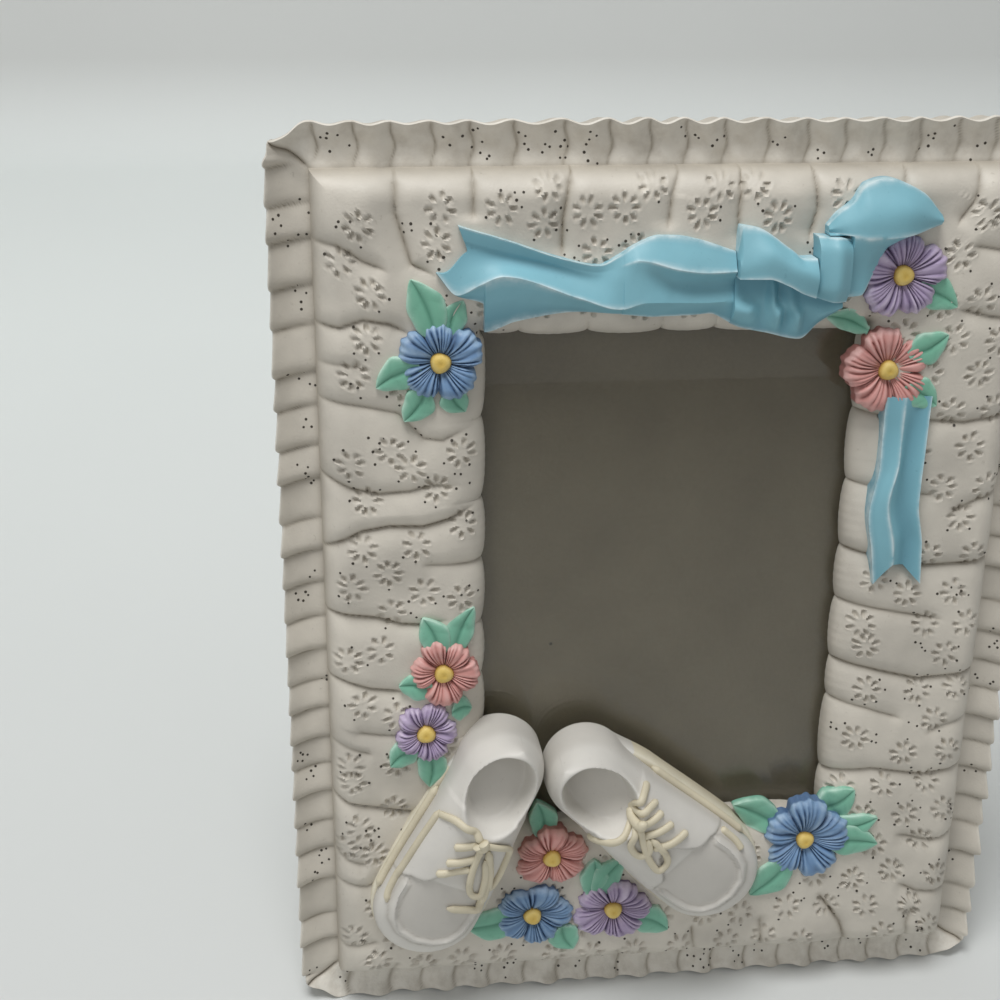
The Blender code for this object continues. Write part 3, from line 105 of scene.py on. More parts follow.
def smooth(xs, ys, at):
    """Curve through points that doesn't overshoot them."""
    xs, ys, at = (np.asarray(value, float) for value in (xs, ys, at))
    step = np.diff(xs)
    slope = np.diff(ys) / step
    tangent = np.zeros_like(ys)
    same = slope[:-1] * slope[1:] > 0
    both = np.where(same, slope[:-1] + slope[1:], 1.0)
    tangent[1:-1] = np.where(same, 2 * slope[:-1] * slope[1:] / both, 0.0)
    tangent[0], tangent[-1] = slope[0], slope[-1]
    k, t = segment(xs, at)
    return bend_between(ys[k], ys[k + 1], step[k] * tangent[k], step[k] * tangent[k + 1], t)


def clamp(value):
    """Value kept between 0 and 1."""
    return np.clip(value, 0, 1)


def ease(value):
    """Soft step from 0 to 1."""
    value = clamp(value)
    return value * value * (3 - 2 * value)


def rounded(share):
    """Quarter round from 0 to 1."""
    share = clamp(share)
    return np.sqrt(1 - (1 - share) ** 2)


def around(count):
    """Angles of so many points round a circle."""
    return 2 * np.pi * np.arange(count) / count


def drift(x, v, scale, seed):
    """Slow uneven swell between -1 and 1."""
    a, b, c, d = np.random.default_rng(seed).uniform(0, 6.3, 4)
    one = np.sin(x / scale + a + 1.3 * np.sin(v / scale * 0.7 + b))
    two = np.sin(v / scale * 1.1 + c + 1.1 * np.sin(x / scale * 0.8 + d))
    return (one + two) / 2


# Meshes


def grid_faces(rows, columns, close_rows=False, close_columns=False, offset=0):
    """Quads of a grid of points, row by row."""
    i = np.arange(rows if close_rows else rows - 1)
    j = np.arange(columns if close_columns else columns - 1)
    i, j = np.meshgrid(i, j, indexing="ij")
    i2, j2 = (i + 1) % rows, (j + 1) % columns
    quads = np.stack([i * columns + j, i * columns + j2, i2 * columns + j2, i2 * columns + j], -1)
    return (quads.reshape(-1, 4) + offset).tolist()


def sleeve(rows, marks):
    """Surface through rings of points, closed at both ends."""
    points = np.concatenate(rows)
    count, sides = points.shape[:2]
    last = (count - 1) * sides
    caps = [list(range(sides)), list(range(last, last + sides))[::-1]]
    return points, grid_faces(count, sides, close_columns=True) + caps, marks


def placed(name, data):
    """Object in the scene."""
    piece = bpy.data.objects.new(name, data)
    scene.collection.objects.link(piece)
    return piece


def mesh_piece(name, parts, look, sharp=50):
    """Object of one or more closed surfaces. Each part is its points, its faces and its marks."""
    points, faces, marks, start = [], [], {}, 0
    for part_points, part_faces, part_marks in parts:
        part_points = np.asarray(part_points, float).reshape(-1, 3)
        points.append(part_points)
        faces += [[corner + start for corner in face] for face in part_faces]
        # Marks per point: painted shade, and worn paint with painted highlight
        for key in ("painted_shade", "wear_and_highlight"):
            values = np.broadcast_to(np.ravel(part_marks.get(key, 0.0)), (len(part_points),))
            marks.setdefault(key, []).append(values)
        start += len(part_points)
    data = bpy.data.meshes.new(name)
    data.from_pydata(np.concatenate(points).tolist(), [], faces)
    shell = bmesh.new()
    shell.from_mesh(data)
    bmesh.ops.recalc_face_normals(shell, faces=shell.faces)
    shell.to_mesh(data)
    shell.free()
    for key, values in marks.items():
        layer = data.attributes.new(key, "FLOAT", "POINT")
        layer.data.foreach_set("value", clamp(np.concatenate(values)).astype(np.float32))
    data.shade_smooth()
    data.set_sharp_from_angle(angle=math.radians(sharp))
    data.materials.append(look)
    piece = placed(name, data)
    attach(piece, "frame")
    return piece


def tube(points, radius, sides=10, flat=1.0):
    """Round cord along points in metres, as points and faces. flat squeezes it across its run."""
    points = np.asarray(points, float)
    reach = np.concatenate([[0], np.cumsum(np.linalg.norm(np.diff(points, axis=0), axis=1))])
    count = max(6, int(reach[-1] / CORD_STEP))
    at = np.linspace(0, reach[-1], count)
    path = np.stack([smooth(reach, points[:, k], at) for k in range(3)], -1)
    for _ in range(CORD_PASSES):
        inner = path[1:-1] * 0.5 + (path[:-2] + path[2:]) * 0.25
        path = np.vstack([path[:1], inner, path[-1:]])
    ahead = np.vstack([path[1:2] - path[:1], path[2:] - path[:-2], path[-1:] - path[-2:-1]])
    ahead /= np.linalg.norm(ahead, axis=1)[:, None]
    across = np.cross(ahead, OUT)
    across /= np.maximum(np.linalg.norm(across, axis=1), 1e-9)[:, None]
    lift = np.cross(across, ahead)
    share = at / reach[-1]
    size = radius * 0.001 * np.sqrt(np.clip(np.minimum(share, 1 - share) / 0.05, 0.12, 1))
    angle = around(sides)
    rings = (
        path[:, None] + across[:, None] * np.cos(angle)[None, :, None] * size[:, None, None]
        + lift[:, None] * np.sin(angle)[None, :, None] * size[:, None, None] * flat)
    # Painted shade on the underside of the cord, and a little all round
    marks = {"painted_shade": 0.15 + 0.35 * (np.sin(np.tile(angle, count)) < -0.3)}
    return sleeve([rings], marks)


# Materials


def put(tree, socket, value):
    """Links a socket to an input, or gives the input a value."""
    if isinstance(value, bpy.types.NodeSocket):
        tree.links.new(value, socket)
    else:
        socket.default_value = value


def add(tree, kind, **values):
    """Node with its properties and inputs set by name."""
    node = tree.nodes.new(kind)
    for key, value in values.items():
        if hasattr(node, key):
            setattr(node, key, value)
        else:
            put(tree, node.inputs[key.replace("_", " ")], value)
    return node


def linear(colour):
    """sRGB of 0 to 255 as linear light."""
    return (*(((c / 255 + 0.055) / 1.055) ** 2.4 if c > 10 else c / 255 / 12.92 for c in colour), 1.0)


def blend(tree, factor, one, two, mode="MIX"):
    """Mix of two colours, each a socket, linear light or sRGB of 0 to 255."""
    node = add(tree, "ShaderNodeMix", data_type="RGBA", blend_type=mode)
    for k, value in ((0, factor), (6, one), (7, two)):
        put(tree, node.inputs[k], linear(value) if isinstance(value, tuple) and len(value) == 3 else value)
    return node.outputs[2]


def times(tree, one, two):
    """Product of two values."""
    node = add(tree, "ShaderNodeMath", operation="MULTIPLY")
    put(tree, node.inputs[0], one)
    put(tree, node.inputs[1], two)
    return node.outputs[0]


def ramp(tree, value, low, high, start=0.0, end=1.0):
    """From start to end as a value goes from low to high."""
    node = add(tree, "ShaderNodeMapRange")
    for socket, number in zip(node.inputs, (value, low, high, start, end)):
        put(tree, socket, number)
    return node.outputs[0]


def noise(tree, place, size, detail=3.0, rough=0.55):
    """Noise whose features are about size mm."""
    node = add(tree, "ShaderNodeTexNoise", Vector=place, Scale=1000.0 / size, Detail=detail, Roughness=rough)
    return node.outputs[0]


def fibres(tree, place, dark, pale):
    """Pressed fibres of two colours."""
    return blend(tree, ramp(tree, noise(tree, place, 0.9, 6.0, 0.7), 0.3, 0.75), dark, pale)


def mark(tree, name):
    """A mark of the mesh's points."""
    return add(tree, "ShaderNodeAttribute", attribute_name=name).outputs["Fac"]


def start_material(name):
    """Material with its tree, its shader and the place on the object."""
    made = bpy.data.materials.new(name)
    made.use_nodes = True
    tree = made.node_tree
    return made, tree, tree.nodes["Principled BSDF"], add(tree, "ShaderNodeTexCoord").outputs["Object"]


def surface(tree, shader, colour, rough, dents, strength, depth):
    """Colour, roughness and fine dents of depth m."""
    put(tree, shader.inputs["Base Color"], colour)
    put(tree, shader.inputs["Roughness"], rough)
    bump = add(tree, "ShaderNodeBump", Strength=strength, Distance=depth, Height=dents)
    put(tree, shader.inputs["Normal"], bump.outputs[0])


def painted(name, base, dark, pale, rough=(0.42, 0.6), grain=0.5, bump=0.12, mottle=0.07):
    """Paint over cast resin: mottled, with painted shade where its points are marked for it, and paler where
    they are marked for worn paint and painted highlight.
    """
    made, tree, shader, place = start_material(name)
    fine = noise(tree, place, 1.6, 5.0, 0.65)
    low = linear([c * (1 - mottle) for c in base])
    high = linear([min(c * (1 + mottle * 0.6), 250) for c in base])
    colour = blend(tree, ramp(tree, noise(tree, place, 14.0), 0.3, 0.7), low, high)
    colour = blend(tree, times(tree, ramp(tree, fine, 0.36, 0.22), 0.35), colour, dark)
    # The dark colour laid by this mark is painted shade in creases, hollows, undersides and sides turned from
    # the light
    colour = blend(tree, mark(tree, "painted_shade"), colour, dark)
    # The pale colour laid by this mark is partly worn paint and partly painted highlight on edges, ridges and
    # lit sides
    uneven = times(tree, mark(tree, "wear_and_highlight"), ramp(tree, noise(tree, place, 3.0), 0.25, 0.6))
    colour = blend(tree, uneven, colour, pale)
    gloss = ramp(tree, fine, 0.0, 1.0, *rough)
    surface(tree, shader, colour, gloss, noise(tree, place, grain, 4.0, 0.6), bump, 0.0004)
    return made


def chipboard():
    """Grey card of pressed fibre, with a few dark specks."""
    made, tree, shader, place = start_material("grey_chipboard")
    cloud = ramp(tree, noise(tree, place, 28.0, 4.0), 0.3, 0.72)
    colour = blend(tree, cloud, (134, 123, 102), (152, 141, 118))
    colour = blend(tree, 0.22, colour, fibres(tree, place, (100, 92, 78), (150, 141, 122)))
    specks = add(tree, "ShaderNodeTexVoronoi", Vector=place, Scale=150.0, Randomness=1.0)
    dots = ramp(tree, specks.outputs["Distance"], 0.085, 0.045)
    few = times(tree, dots, ramp(tree, noise(tree, place, 30.0), 0.58, 0.66))
    colour = blend(tree, few, colour, (32, 30, 27))
    surface(tree, shader, colour, 0.82, noise(tree, place, 0.8, 5.0), 0.25, 0.0002)
    return made


def clear_pane():
    """Clear sheet with a faint haze."""
    made, tree, shader, place = start_material("clear_pane")
    shader.inputs["Base Color"].default_value = (0.97, 0.985, 0.98, 1)
    shader.inputs["Transmission Weight"].default_value = 1.0
    shader.inputs["IOR"].default_value = 1.45
    put(tree, shader.inputs["Roughness"], ramp(tree, noise(tree, place, 22.0, 4.0), 0.0, 1.0, 0.0, 0.03))
    return made


def flocked():
    """Dark pile, brushed lighter in patches."""
    made, tree, shader, place = start_material("flocked_velvet")
    pile = noise(tree, place, 0.5, 4.0, 0.7)
    colour = blend(tree, ramp(tree, pile, 0.3, 0.7), (34, 34, 40), (58, 58, 64))
    nap = ramp(tree, noise(tree, place, 26.0, 3.0), 0.35, 0.65, 0.0, 0.5)
    colour = blend(tree, nap, colour, (64, 64, 71))
    shader.inputs["Sheen Weight"].default_value = 0.6
    surface(tree, shader, colour, 0.95, pile, 0.6, 0.0003)
    return made


def dark_board():
    """Raw edge of the dark fibre boards."""
    made, tree, shader, place = start_material("dark_board")
    colour = fibres(tree, place, (24, 23, 22), (46, 43, 39))
    surface(tree, shader, colour, 0.8, noise(tree, place, 0.7, 5.0), 0.3, 0.0002)
    return made


def metal(name, bright, dull, rough):
    """Stamped metal, drawn along x and tarnished in patches."""
    made, tree, shader, place = start_material(name)
    streak = add(tree, "ShaderNodeMapping", Vector=place, Scale=(1.0, 14.0, 14.0)).outputs[0]
    lines = noise(tree, streak, 4.0, 4.0, 0.6)
    tarnish = ramp(tree, noise(tree, place, 5.0, 4.0), 0.42, 0.7)
    colour = blend(tree, tarnish, bright, dull)
    shader.inputs["Metallic"].default_value = 1.0
    surface(tree, shader, colour, ramp(tree, lines, 0.0, 1.0, *rough), lines, 0.15, 0.0001)
    return made


IVORY = painted("aged_ivory", (208, 202, 190), (122, 111, 92), (228, 224, 214), bump=0.2)
RIBBON = painted(
    "soft_blue", (132, 187, 201), (74, 128, 148), (206, 226, 230), grain=1.2, bump=0.06, mottle=0.04)
PIT = painted("pit_shadow", (62, 56, 47), (28, 25, 21), (76, 69, 59), bump=0.05)
PETAL = {
    "blue": painted("petal_blue", (112, 146, 184), (50, 70, 104), (166, 190, 212), bump=0.16),
    "pink": painted("petal_pink", (214, 154, 147), (134, 74, 68), (226, 184, 178), bump=0.16),
    "purple": painted("petal_lilac", (172, 155, 186), (88, 72, 108), (212, 199, 218), bump=0.16),
}
EYE = painted("eye_yellow", (224, 190, 92), (158, 118, 52), (236, 214, 140), grain=0.35, bump=0.3)
LEAF = painted("leaf_mint", (124, 186, 160), (66, 126, 104), (192, 222, 206), bump=0.1)
SHOE = painted(
    "shoe_white", (216, 213, 206), (150, 142, 130), (236, 234, 229), grain=0.9, bump=0.06, mottle=0.03)
LACE = painted("lace_cream", (222, 214, 190), (166, 150, 114), (238, 233, 216), grain=0.6, bump=0.12)
SOLE = painted("sole_cream", (221, 214, 192), (168, 152, 118), (234, 230, 214), grain=0.9, bump=0.08)


# Camera, at the photograph's viewing point

CAMERA_PLACE = (-0.0737, -0.28527, 0.31190)
CAMERA_AXES = ((0.99367, -0.10838, 0.02944), (0.03391, 0.53944, 0.84135), (-0.10707, -0.83503, 0.53970))
camera_data = bpy.data.cameras.new("camera")
camera_data.lens = 54
camera_data.sensor_width = camera_data.sensor_height = 36
camera_data.clip_start = 0.01
camera = placed("camera", camera_data)
scene.camera = camera
camera.matrix_world = Matrix.Translation(CAMERA_PLACE) @ Matrix(CAMERA_AXES).transposed().to_4x4()


# Gathered panel

# Creases as points in x and v with their depth
CREASES = (
    (((-77.5, 192.3), (-72.4, 191.5), (-67.1, 188), (-61, 185.6)), 0.8),
    (((-77.5, 175), (-72.3, 174.2), (-67.4, 175.7), (-61.8, 174.7), (-56.6, 172.1)), 1),
    (((-77.5, 166.7), (-72, 166.4), (-66.7, 165.2)), 0.5),
    (((-77.5, 158.8), (-66.2, 156.7), (-60.4, 155.4), (-55.1, 149.6), (-50.9, 149), (-42.9, 152.7)), 0.7),
    (((-77.5, 141.8), (-70.6, 138.3), (-64.9, 136.9), (-58, 137.4), (-53.4, 138.7), (-46.1, 138.6)), 0.9),
    (((-77.5, 124.1), (-68.7, 128.3), (-62.7, 129.2), (-55.3, 128.9), (-49.3, 130.6), (-42.6, 134.3)), 1.15),
    (((-42.6, 119.5), (-48, 119.6), (-56.4, 119.9)), 0.6),
    (((-77.5, 108.8), (-65.7, 107), (-60.6, 105.4), (-56.1, 105.1), (-49, 106.8)), 1.1),
    (((-77.5, 92.5), (-73.1, 91.5), (-67.9, 89.6), (-58.2, 88.2)), 1),
    (((-70.2, 78.5), (-66, 77.8), (-58.8, 77.2)), 0.7), (((-77.5, 76), (-72.9, 74.5), (-67, 72.6)), 0.6),
    (((-77.5, 61.6), (-74.1, 59.3), (-69.8, 58.2), (-61.7, 56.6), (-54.7, 55.8)), 1),
    (((-77.5, 46.1), (-74.5, 43.7), (-69, 42.4)), 0.7), (((-77.5, 37.5), (-69.9, 36.5), (-64.2, 39)), 0.7),
    (((-77.5, 19.8), (-75.3, 18.8), (-66.3, 20.6)), 0.6),
    (((-60.2, 206), (-60.3, 197.9), (-57.2, 187.4), (-51, 184.5)), 0.9),
    (((-44.2, 206), (-44.3, 195.7)), 0.9), (((-23.6, 206), (-24.5, 202.6), (-25.6, 196), (-25.7, 186.6)), 1),
    (((-1, 206), (-2.8, 201.1), (-3.6, 193)), 0.8), (((12.1, 206), (11.4, 196.3), (11.9, 189.3)), 0.9),
    (((27.6, 206), (28.4, 197.6), (26.6, 190.1)), 0.9), (((47.8, 206), (46.6, 198.6), (47.6, 191.1)), 0.8),
    (((64.2, 206), (62.8, 199), (58.8, 193.1)), 0.8), (((77.5, 190.2), (70, 188.4), (62.1, 189.6)), 0.8),
    (((77.5, 172.6), (69, 173.8), (60.2, 176)), 0.9),
    (((42.6, 152), (56, 150.4), (66, 149.6), (77.5, 151.2)), 0.9),
    (((42.6, 135), (52, 133.6), (63, 132)), 0.7),
    (((42.6, 118.7), (49, 117.6), (60, 114.8), (77.5, 115.6)), 1.05),
    (((42.6, 105.5), (52, 104), (67.5, 101)), 0.8), (((77.5, 132.6), (71, 131), (64, 127.4)), 0.8),
    (((42.6, 90), (50, 88.6), (62, 85.4), (77.5, 86.6)), 1), (((42.6, 79.7), (50, 78.4), (60, 75)), 0.7),
    (((42.6, 60), (53, 61.4), (66, 59.2), (77.5, 60.4)), 0.9), (((77.5, 74.5), (70, 73), (64.5, 70.6)), 0.6),
    (((77.5, 41.5), (70, 40.2), (60, 42.6)), 0.8), (((77.5, 24.2), (68, 25.4), (62, 28.6)), 0.8),
    (((51.9, 9), (49, 17), (45.7, 21.9), (41.8, 27.6)), 1), (((29.6, 9), (28.4, 16), (27.9, 22)), 0.7),
    (((12.6, 9), (11, 15), (10.4, 21)), 0.7), (((-6.8, 9), (-8.4, 14)), 0.6),
    (((-64.4, 9), (-62.6, 14.4)), 0.6), (((68, 9), (66.4, 15.6), (67.4, 22)), 0.7),
)
# Notches of the lip, along each side
NOTCHES = {
    "left": (49, 62, 76, 90.5, 104, 119.5, 134.2, 152.9, 172),
    "right": (49, 60, 79.7, 90, 105.5, 118.7, 135, 152, 172),
    "top": (-42.5, -34.2, -19.3, -3.3, 8.4, 24, 42.5),
    "bottom": (-42.5, -25, -8, 12, 24, 35.7, 42.5),
}
# Eyelet daisies seen in the photograph
DAISIES = (
    (-28.9, 203.1), (-51, 199.1), (-52, 191.6), (-67.9, 195.5), (-71.7, 188.2), (-65.8, 181.4),
    (-66.6, 171.9), (-69.6, 164), (-38.5, 198.8), (-29.7, 195.6), (-20.7, 197.8), (-12.9, 198.6),
    (-7.1, 203.1), (-18.5, 189.4), (-10.1, 190.1), (3.4, 197.2), (7.4, 202.9), (14.6, 202.8), (19.6, 196.3),
    (34, 200.6), (-70.8, 144.2), (-62.3, 147.1), (-57.9, 143), (-52.3, 138.2), (-47, 146.1), (-46.6, 129.4),
    (-68.9, 124.5), (-56.8, 124.9), (-63.1, 118.5), (-71.4, 115.5), (-55.4, 113.6), (-72.6, 97.3),
    (-65.3, 99.7), (-69.7, 85.9), (-62.1, 82.9), (-73, 70), (-62.2, 70.1), (-72.7, 65.7), (-71.2, 52.8),
    (-75, 47.4), (-68, 46), (47, 100.7), (48.5, 95), (48, 70.6), (49, 112), (50, 126.4), (-59.4, 161.5),
    (-47, 111.5))
# Pinholes of the side that is being made
HOLES = []


def lip_bulge(side, along):
    """How far the lip swells into the opening between its notches."""
    stops = np.array(NOTCHES[side])
    k, share = segment(stops, along)
    room = np.minimum((stops[k + 1] - stops[k]) / 14, 1)
    swell = LIP_SWELL * room * (4 * share * (1 - share)) ** 0.42
    inside = ease((along - stops[0]) / 2) * ease((stops[-1] - along) / 2)
    return (swell + 0.12 * np.sin(along * 2.9) * share * (1 - share)) * inside


def nearest(x, v, line):
    """Distance to a line of points, signed side and share of its length."""
    best = np.full(x.shape, 1e9)
    share_at = np.zeros(x.shape)
    line = np.array(line, float)
    lengths = np.linalg.norm(np.diff(line, axis=0), axis=1)
    total = lengths.sum()
    done = 0.0
    above = np.zeros(x.shape)
    for one, two, length in zip(line, line[1:], lengths):
        along = (two - one) / length
        run = np.clip((x - one[0]) * along[0] + (v - one[1]) * along[1], 0, length)
        dx, dv = x - one[0] - along[0] * run, v - one[1] - along[1] * run
        gap = np.hypot(dx, dv)
        closer = gap < best
        best = np.where(closer, gap, best)
        share_at = np.where(closer, (done + run) / total, share_at)
        above = np.where(closer, dv + 0.35 * dx, above)
        done += length
    return best, above, share_at


def spread_daisies():
    """Measured daisies, with a staggered fill where the photograph shows none or ends."""
    spots = list(DAISIES)
    row = 0
    for v in np.arange(14.0, 204.0, DAISY_GAP * 0.8):
        row += 1
        for x in np.arange(-73.5 + (row % 2) * DAISY_GAP / 2, 75.0, DAISY_GAP):
            place = (x + rng.uniform(-1.3, 1.3), v + rng.uniform(-1.2, 1.2))
            inside = abs(place[0]) < OPEN_X + 3.4 and OPEN_LOW - 3.4 < place[1] < OPEN_HIGH + 3.4
            outside = abs(place[0]) > SEAM_X - 3 or not SEAM_LOW + 4 < place[1] < SEAM_HIGH - 4
            close = any(math.hypot(place[0] - a, place[1] - b) < DAISY_GAP * 0.78 for a, b in spots)
            if not (inside or outside or close):
                spots.append(place)
    return spots


def eyelets(x, v, spots, drop, painted_shade):
    """Sinks daisies of short incised dashes into a height field, and places pinholes at their tips."""
    for cx, cv in spots:
        near = np.flatnonzero((abs(x - cx) < 5.2) & (abs(v - cv) < 5.2))
        if not len(near):
            continue
        dx, dv = x[near] - cx, v[near] - cv
        petals = int(rng.integers(7, 9))
        turn = rng.uniform(0, 6.28)
        for k in range(petals):
            angle = turn + 2 * np.pi * (k + rng.uniform(-0.12, 0.12)) / petals
            middle = DAISY_REACH + rng.uniform(-0.2, 0.3)
            along = dx * math.cos(angle) + dv * math.sin(angle) - middle
            across = -dx * math.sin(angle) + dv * math.cos(angle)
            length = DASH_LENGTH + rng.uniform(-0.15, 0.15)
            depth = rng.uniform(0.5, 0.85)
            width = DASH_WIDTH * np.clip(1 + 0.35 * along / length, 0.4, 1.5)
            pit = clamp(1 - (along / length) ** 2 - (across / width) ** 2)
            rim = clamp(1 - (along / (length + 0.6)) ** 2 - (across / 1.1) ** 2)
            drop[near] += depth * pit ** 0.7 - DASH_RIM * rim * (pit == 0)
            # Painted shade in the dashes' pits
            painted_shade[near] = np.maximum(painted_shade[near], 0.30 * pit ** 0.6)
            if rng.uniform() < 0.26:
                reach = middle + length + rng.uniform(0.2, 0.9)
                HOLES.append((cx + reach * math.cos(angle), cv + reach * math.sin(angle)))


def hole_cluster(cx, cv):
    """Three to five pinholes close together."""
    count = int(rng.integers(3, 6))
    spread = (-HOLE_SPREAD, HOLE_SPREAD)
    return [(cx + rng.uniform(*spread), cv + rng.uniform(*spread)) for _ in range(count)]


def pinholes(name, surface, picks):
    """Dark discs on a grid of points, at the given rows and columns: painted shade that stands for the
    pinholes.
    """
    parts = []
    turn = around(HOLE_SIDES)
    for row, column in picks:
        middle = surface[row, column]
        one = surface[row, column + 1] - surface[row, column - 1]
        two = surface[row + 1, column] - surface[row - 1, column]
        normal = np.cross(one, two)
        normal /= np.linalg.norm(normal)
        if normal @ OUT < 0:
            normal = -normal
        one = one / np.linalg.norm(one)
        two = np.cross(normal, one)
        radius = rng.uniform(*HOLE_RADII) * 0.001
        rim = one * np.cos(turn)[:, None] * radius + two * np.sin(turn)[:, None] * radius
        steps = ((1.0, -HOLE_DEPTH), (1.05, 0.03), (0.6, 0.04))
        parts.append(sleeve([[middle + rim * size + normal * level * 0.001] for size, level in steps], {}))
    piece = mesh_piece(name, parts, PIT, 70)
    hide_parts("front_casting")


def seam_distance(x, v):
    """Distance in from the seam, with the ridge towards each corner rounded off."""
    sideways, upright = SEAM_X - abs(x), np.minimum(v - SEAM_LOW, SEAM_HIGH - v)
    least = np.minimum(sideways, upright)
    near = clamp(1 - abs(sideways - upright) / CORNER_ROUND)
    return least - near ** 2 * CORNER_ROUND / 4 * clamp(least / OUTER_ROLL)


def fabric(x, v):
    """Height of the pillowed fabric without its creases, and the distances to its lip and seam."""
    seam = seam_distance(x, v)
    in_height = (v > OPEN_LOW) & (v < OPEN_HIGH)
    in_width = abs(x) < OPEN_X
    sideways = np.where(x < 0, lip_bulge("left", v), lip_bulge("right", v)) * in_height
    upright = np.where(v > 110, lip_bulge("top", x), lip_bulge("bottom", x)) * in_width
    outside = np.maximum(abs(x) - OPEN_X + sideways, 0)
    beyond = np.maximum(np.maximum(OPEN_LOW - v, v - OPEN_HIGH) + upright, 0)
    lip = np.hypot(outside * (abs(x) > OPEN_X - 3), beyond)
    height = SEAM_HEIGHT + (CREST - SEAM_HEIGHT) * rounded(seam / OUTER_ROLL)
    height = height - (CREST - LIP_FRONT) * (1 - rounded(lip / INNER_ROLL))
    return height, lip, seam


def relief(x, v, daisies):
    """Height of the panel's front and its painted shade."""
    height, lip, seam = fabric(x, v)
    sink = np.zeros(x.shape)
    # Painted shade along the seam and the inner lip, where the fabric dips
    painted_shade = 0.42 * np.exp(-np.clip(seam, 0, 9) / 0.9) + 0.2 * np.exp(-lip / 0.8)
    for line, depth in CREASES:
        gap, above, share = nearest(x, v, line)
        tail = ease((1 - share) / 0.22) if abs(line[-1][0]) < SEAM_X - 1 else 1.0
        upper = above > 0
        wide = np.where(upper, 2.1, 3.6)
        narrow = np.where(upper, 0.5, 0.85)
        fall = (0.85 * np.exp(-(gap / wide) ** 2) + 1.05 * np.exp(-gap / narrow)) * depth * tail
        sink = np.maximum(sink, fall)
        # Painted shade in each crease
        painted_shade = np.maximum(painted_shade, FOLD_SHADE * np.exp(-gap / 0.42) * depth * tail)
    uneven = 0.35 * drift(x, v, 9.0, 3) + 0.3 * drift(x, v, 4.6, 5)
    height = height - sink * clamp(0.35 + seam / 4) + uneven * clamp(seam / 5)
    drop = np.zeros(x.shape)
    eyelets(x, v, daisies, drop, painted_shade)
    return height - drop * clamp(lip / 1.2) * clamp(seam), painted_shade


def ring_corners(half, low, high):
    """Corners clockwise from the lower left, as seen from the front."""
    return [np.array(place, float) for place in ((-half, low), (-half, high), (half, high), (half, low))]


def side_line(corners, k, share):
    """Points along one side of a ring of corners."""
    return corners[k] + (corners[(k + 1) % 4] - corners[k]) * share


def panel():
    """Four mitred pieces of the pillowed panel, each a closed loop swept along its side."""
    inner = ring_corners(OPEN_X, OPEN_LOW, OPEN_HIGH)
    outer = ring_corners(SEAM_X, SEAM_LOW, SEAM_HIGH)
    rebate = ring_corners(REBATE_X, REBATE_LOW, REBATE_HIGH)
    daisies = spread_daisies()
    for k, side in enumerate(SIDES):
        count = SIDE_COLUMNS if side in UPRIGHT else TOP_COLUMNS
        u = np.linspace(0, 1, count)[:, None]
        lip, seam, wall = (side_line(corners, k, u) for corners in (inner, outer, rebate))
        along = lip[:, 1] if side in UPRIGHT else lip[:, 0]
        edge = lip - np.array(AWAY[side]) * lip_bulge(side, along)[:, None]
        t = np.linspace(0, 1, PANEL_ROWS)[:, None, None]
        t = 0.35 * t ** 2 + 0.65 * t
        front = edge[None] + (seam - edge)[None] * t
        x, v = front[..., 0].ravel(), front[..., 1].ravel()
        HOLES.clear()
        height, painted_shade = relief(x, v, daisies)
        surface = spot(x, v, height).reshape(PANEL_ROWS, count, 3)
        for _ in range(PANEL_CLUSTERS):
            at = int(rng.integers(0, len(x)))
            HOLES.extend(hole_cluster(x[at], v[at]))
        picks, kept = set(), []
        for hx, hv in HOLES:
            gap = np.hypot(x - hx, v - hv)
            best = int(np.argmin(gap))
            row, column = best // count, best % count
            inside = 3 < row < PANEL_ROWS - 3 and 3 < column < count - 3
            apart = all(math.hypot(hx - a, hv - b) > HOLE_GAP for a, b in kept)
            if gap[best] < 0.6 and inside and apart:
                picks.add((row, column))
                kept.append((hx, hv))
        pinholes("pinholes_" + side, surface, sorted(picks))
        away = (seam - lip) / np.linalg.norm(seam - lip, axis=1)[:, None]
        under = (
            (seam, 0.0), (wall, 0.0), (wall, LEDGE), (edge + away * OVERHANG, LEDGE),
            (edge + away * 0.25, LEDGE + 0.7), (edge, LEDGE + 1.5))
        points = np.concatenate([surface] + [spot(*place.T, level)[None] for place, level in under])
        total = len(points)
        points[..., 2] = np.maximum(points[..., 2], GROUND)
        faces = grid_faces(total, count, close_rows=True)
        faces += [[i * count for i in range(total)], [i * count + count - 1 for i in range(total)][::-1]]
        # Painted shade on the hidden underside as well
        marks = {"painted_shade": np.concatenate([painted_shade, np.full(len(under) * count, 0.12)])}
        piece = mesh_piece("panel_" + side, [(points, faces, marks)], IVORY)
        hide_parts("front_casting")


# Ruffle: its folds along each side. The right side has the left's
FOLDS = {
    "left": (
        -2.4, 5.6, 15.5, 23, 33.2, 42.1, 49.8, 57.9, 65.6, 72.6, 80.6, 88, 95.8, 104.2, 112.7, 120.6, 128.3,
        137.8, 145.5, 154.7, 162.1, 172.7, 181.2, 191.1, 198.6, 206.8, 216),
    "top": (
        -87, -76.1, -67.8, -60.2, -51.8, -43.9, -34.8, -24.1, -14.7, -6.2, 1.5, 9.8, 19, 27.7, 35.9, 44.4,
        52.3, 61, 69.2, 77.6, 87),
    "bottom": (
        -87, -75.1, -64.5, -56.6, -48.2, -39.5, -30.4, -21.8, -14, -6.1, 2, 10.2, 18.7, 27.5, 36.4, 45.3, 53,
        60.6, 69, 77.4, 87),
}


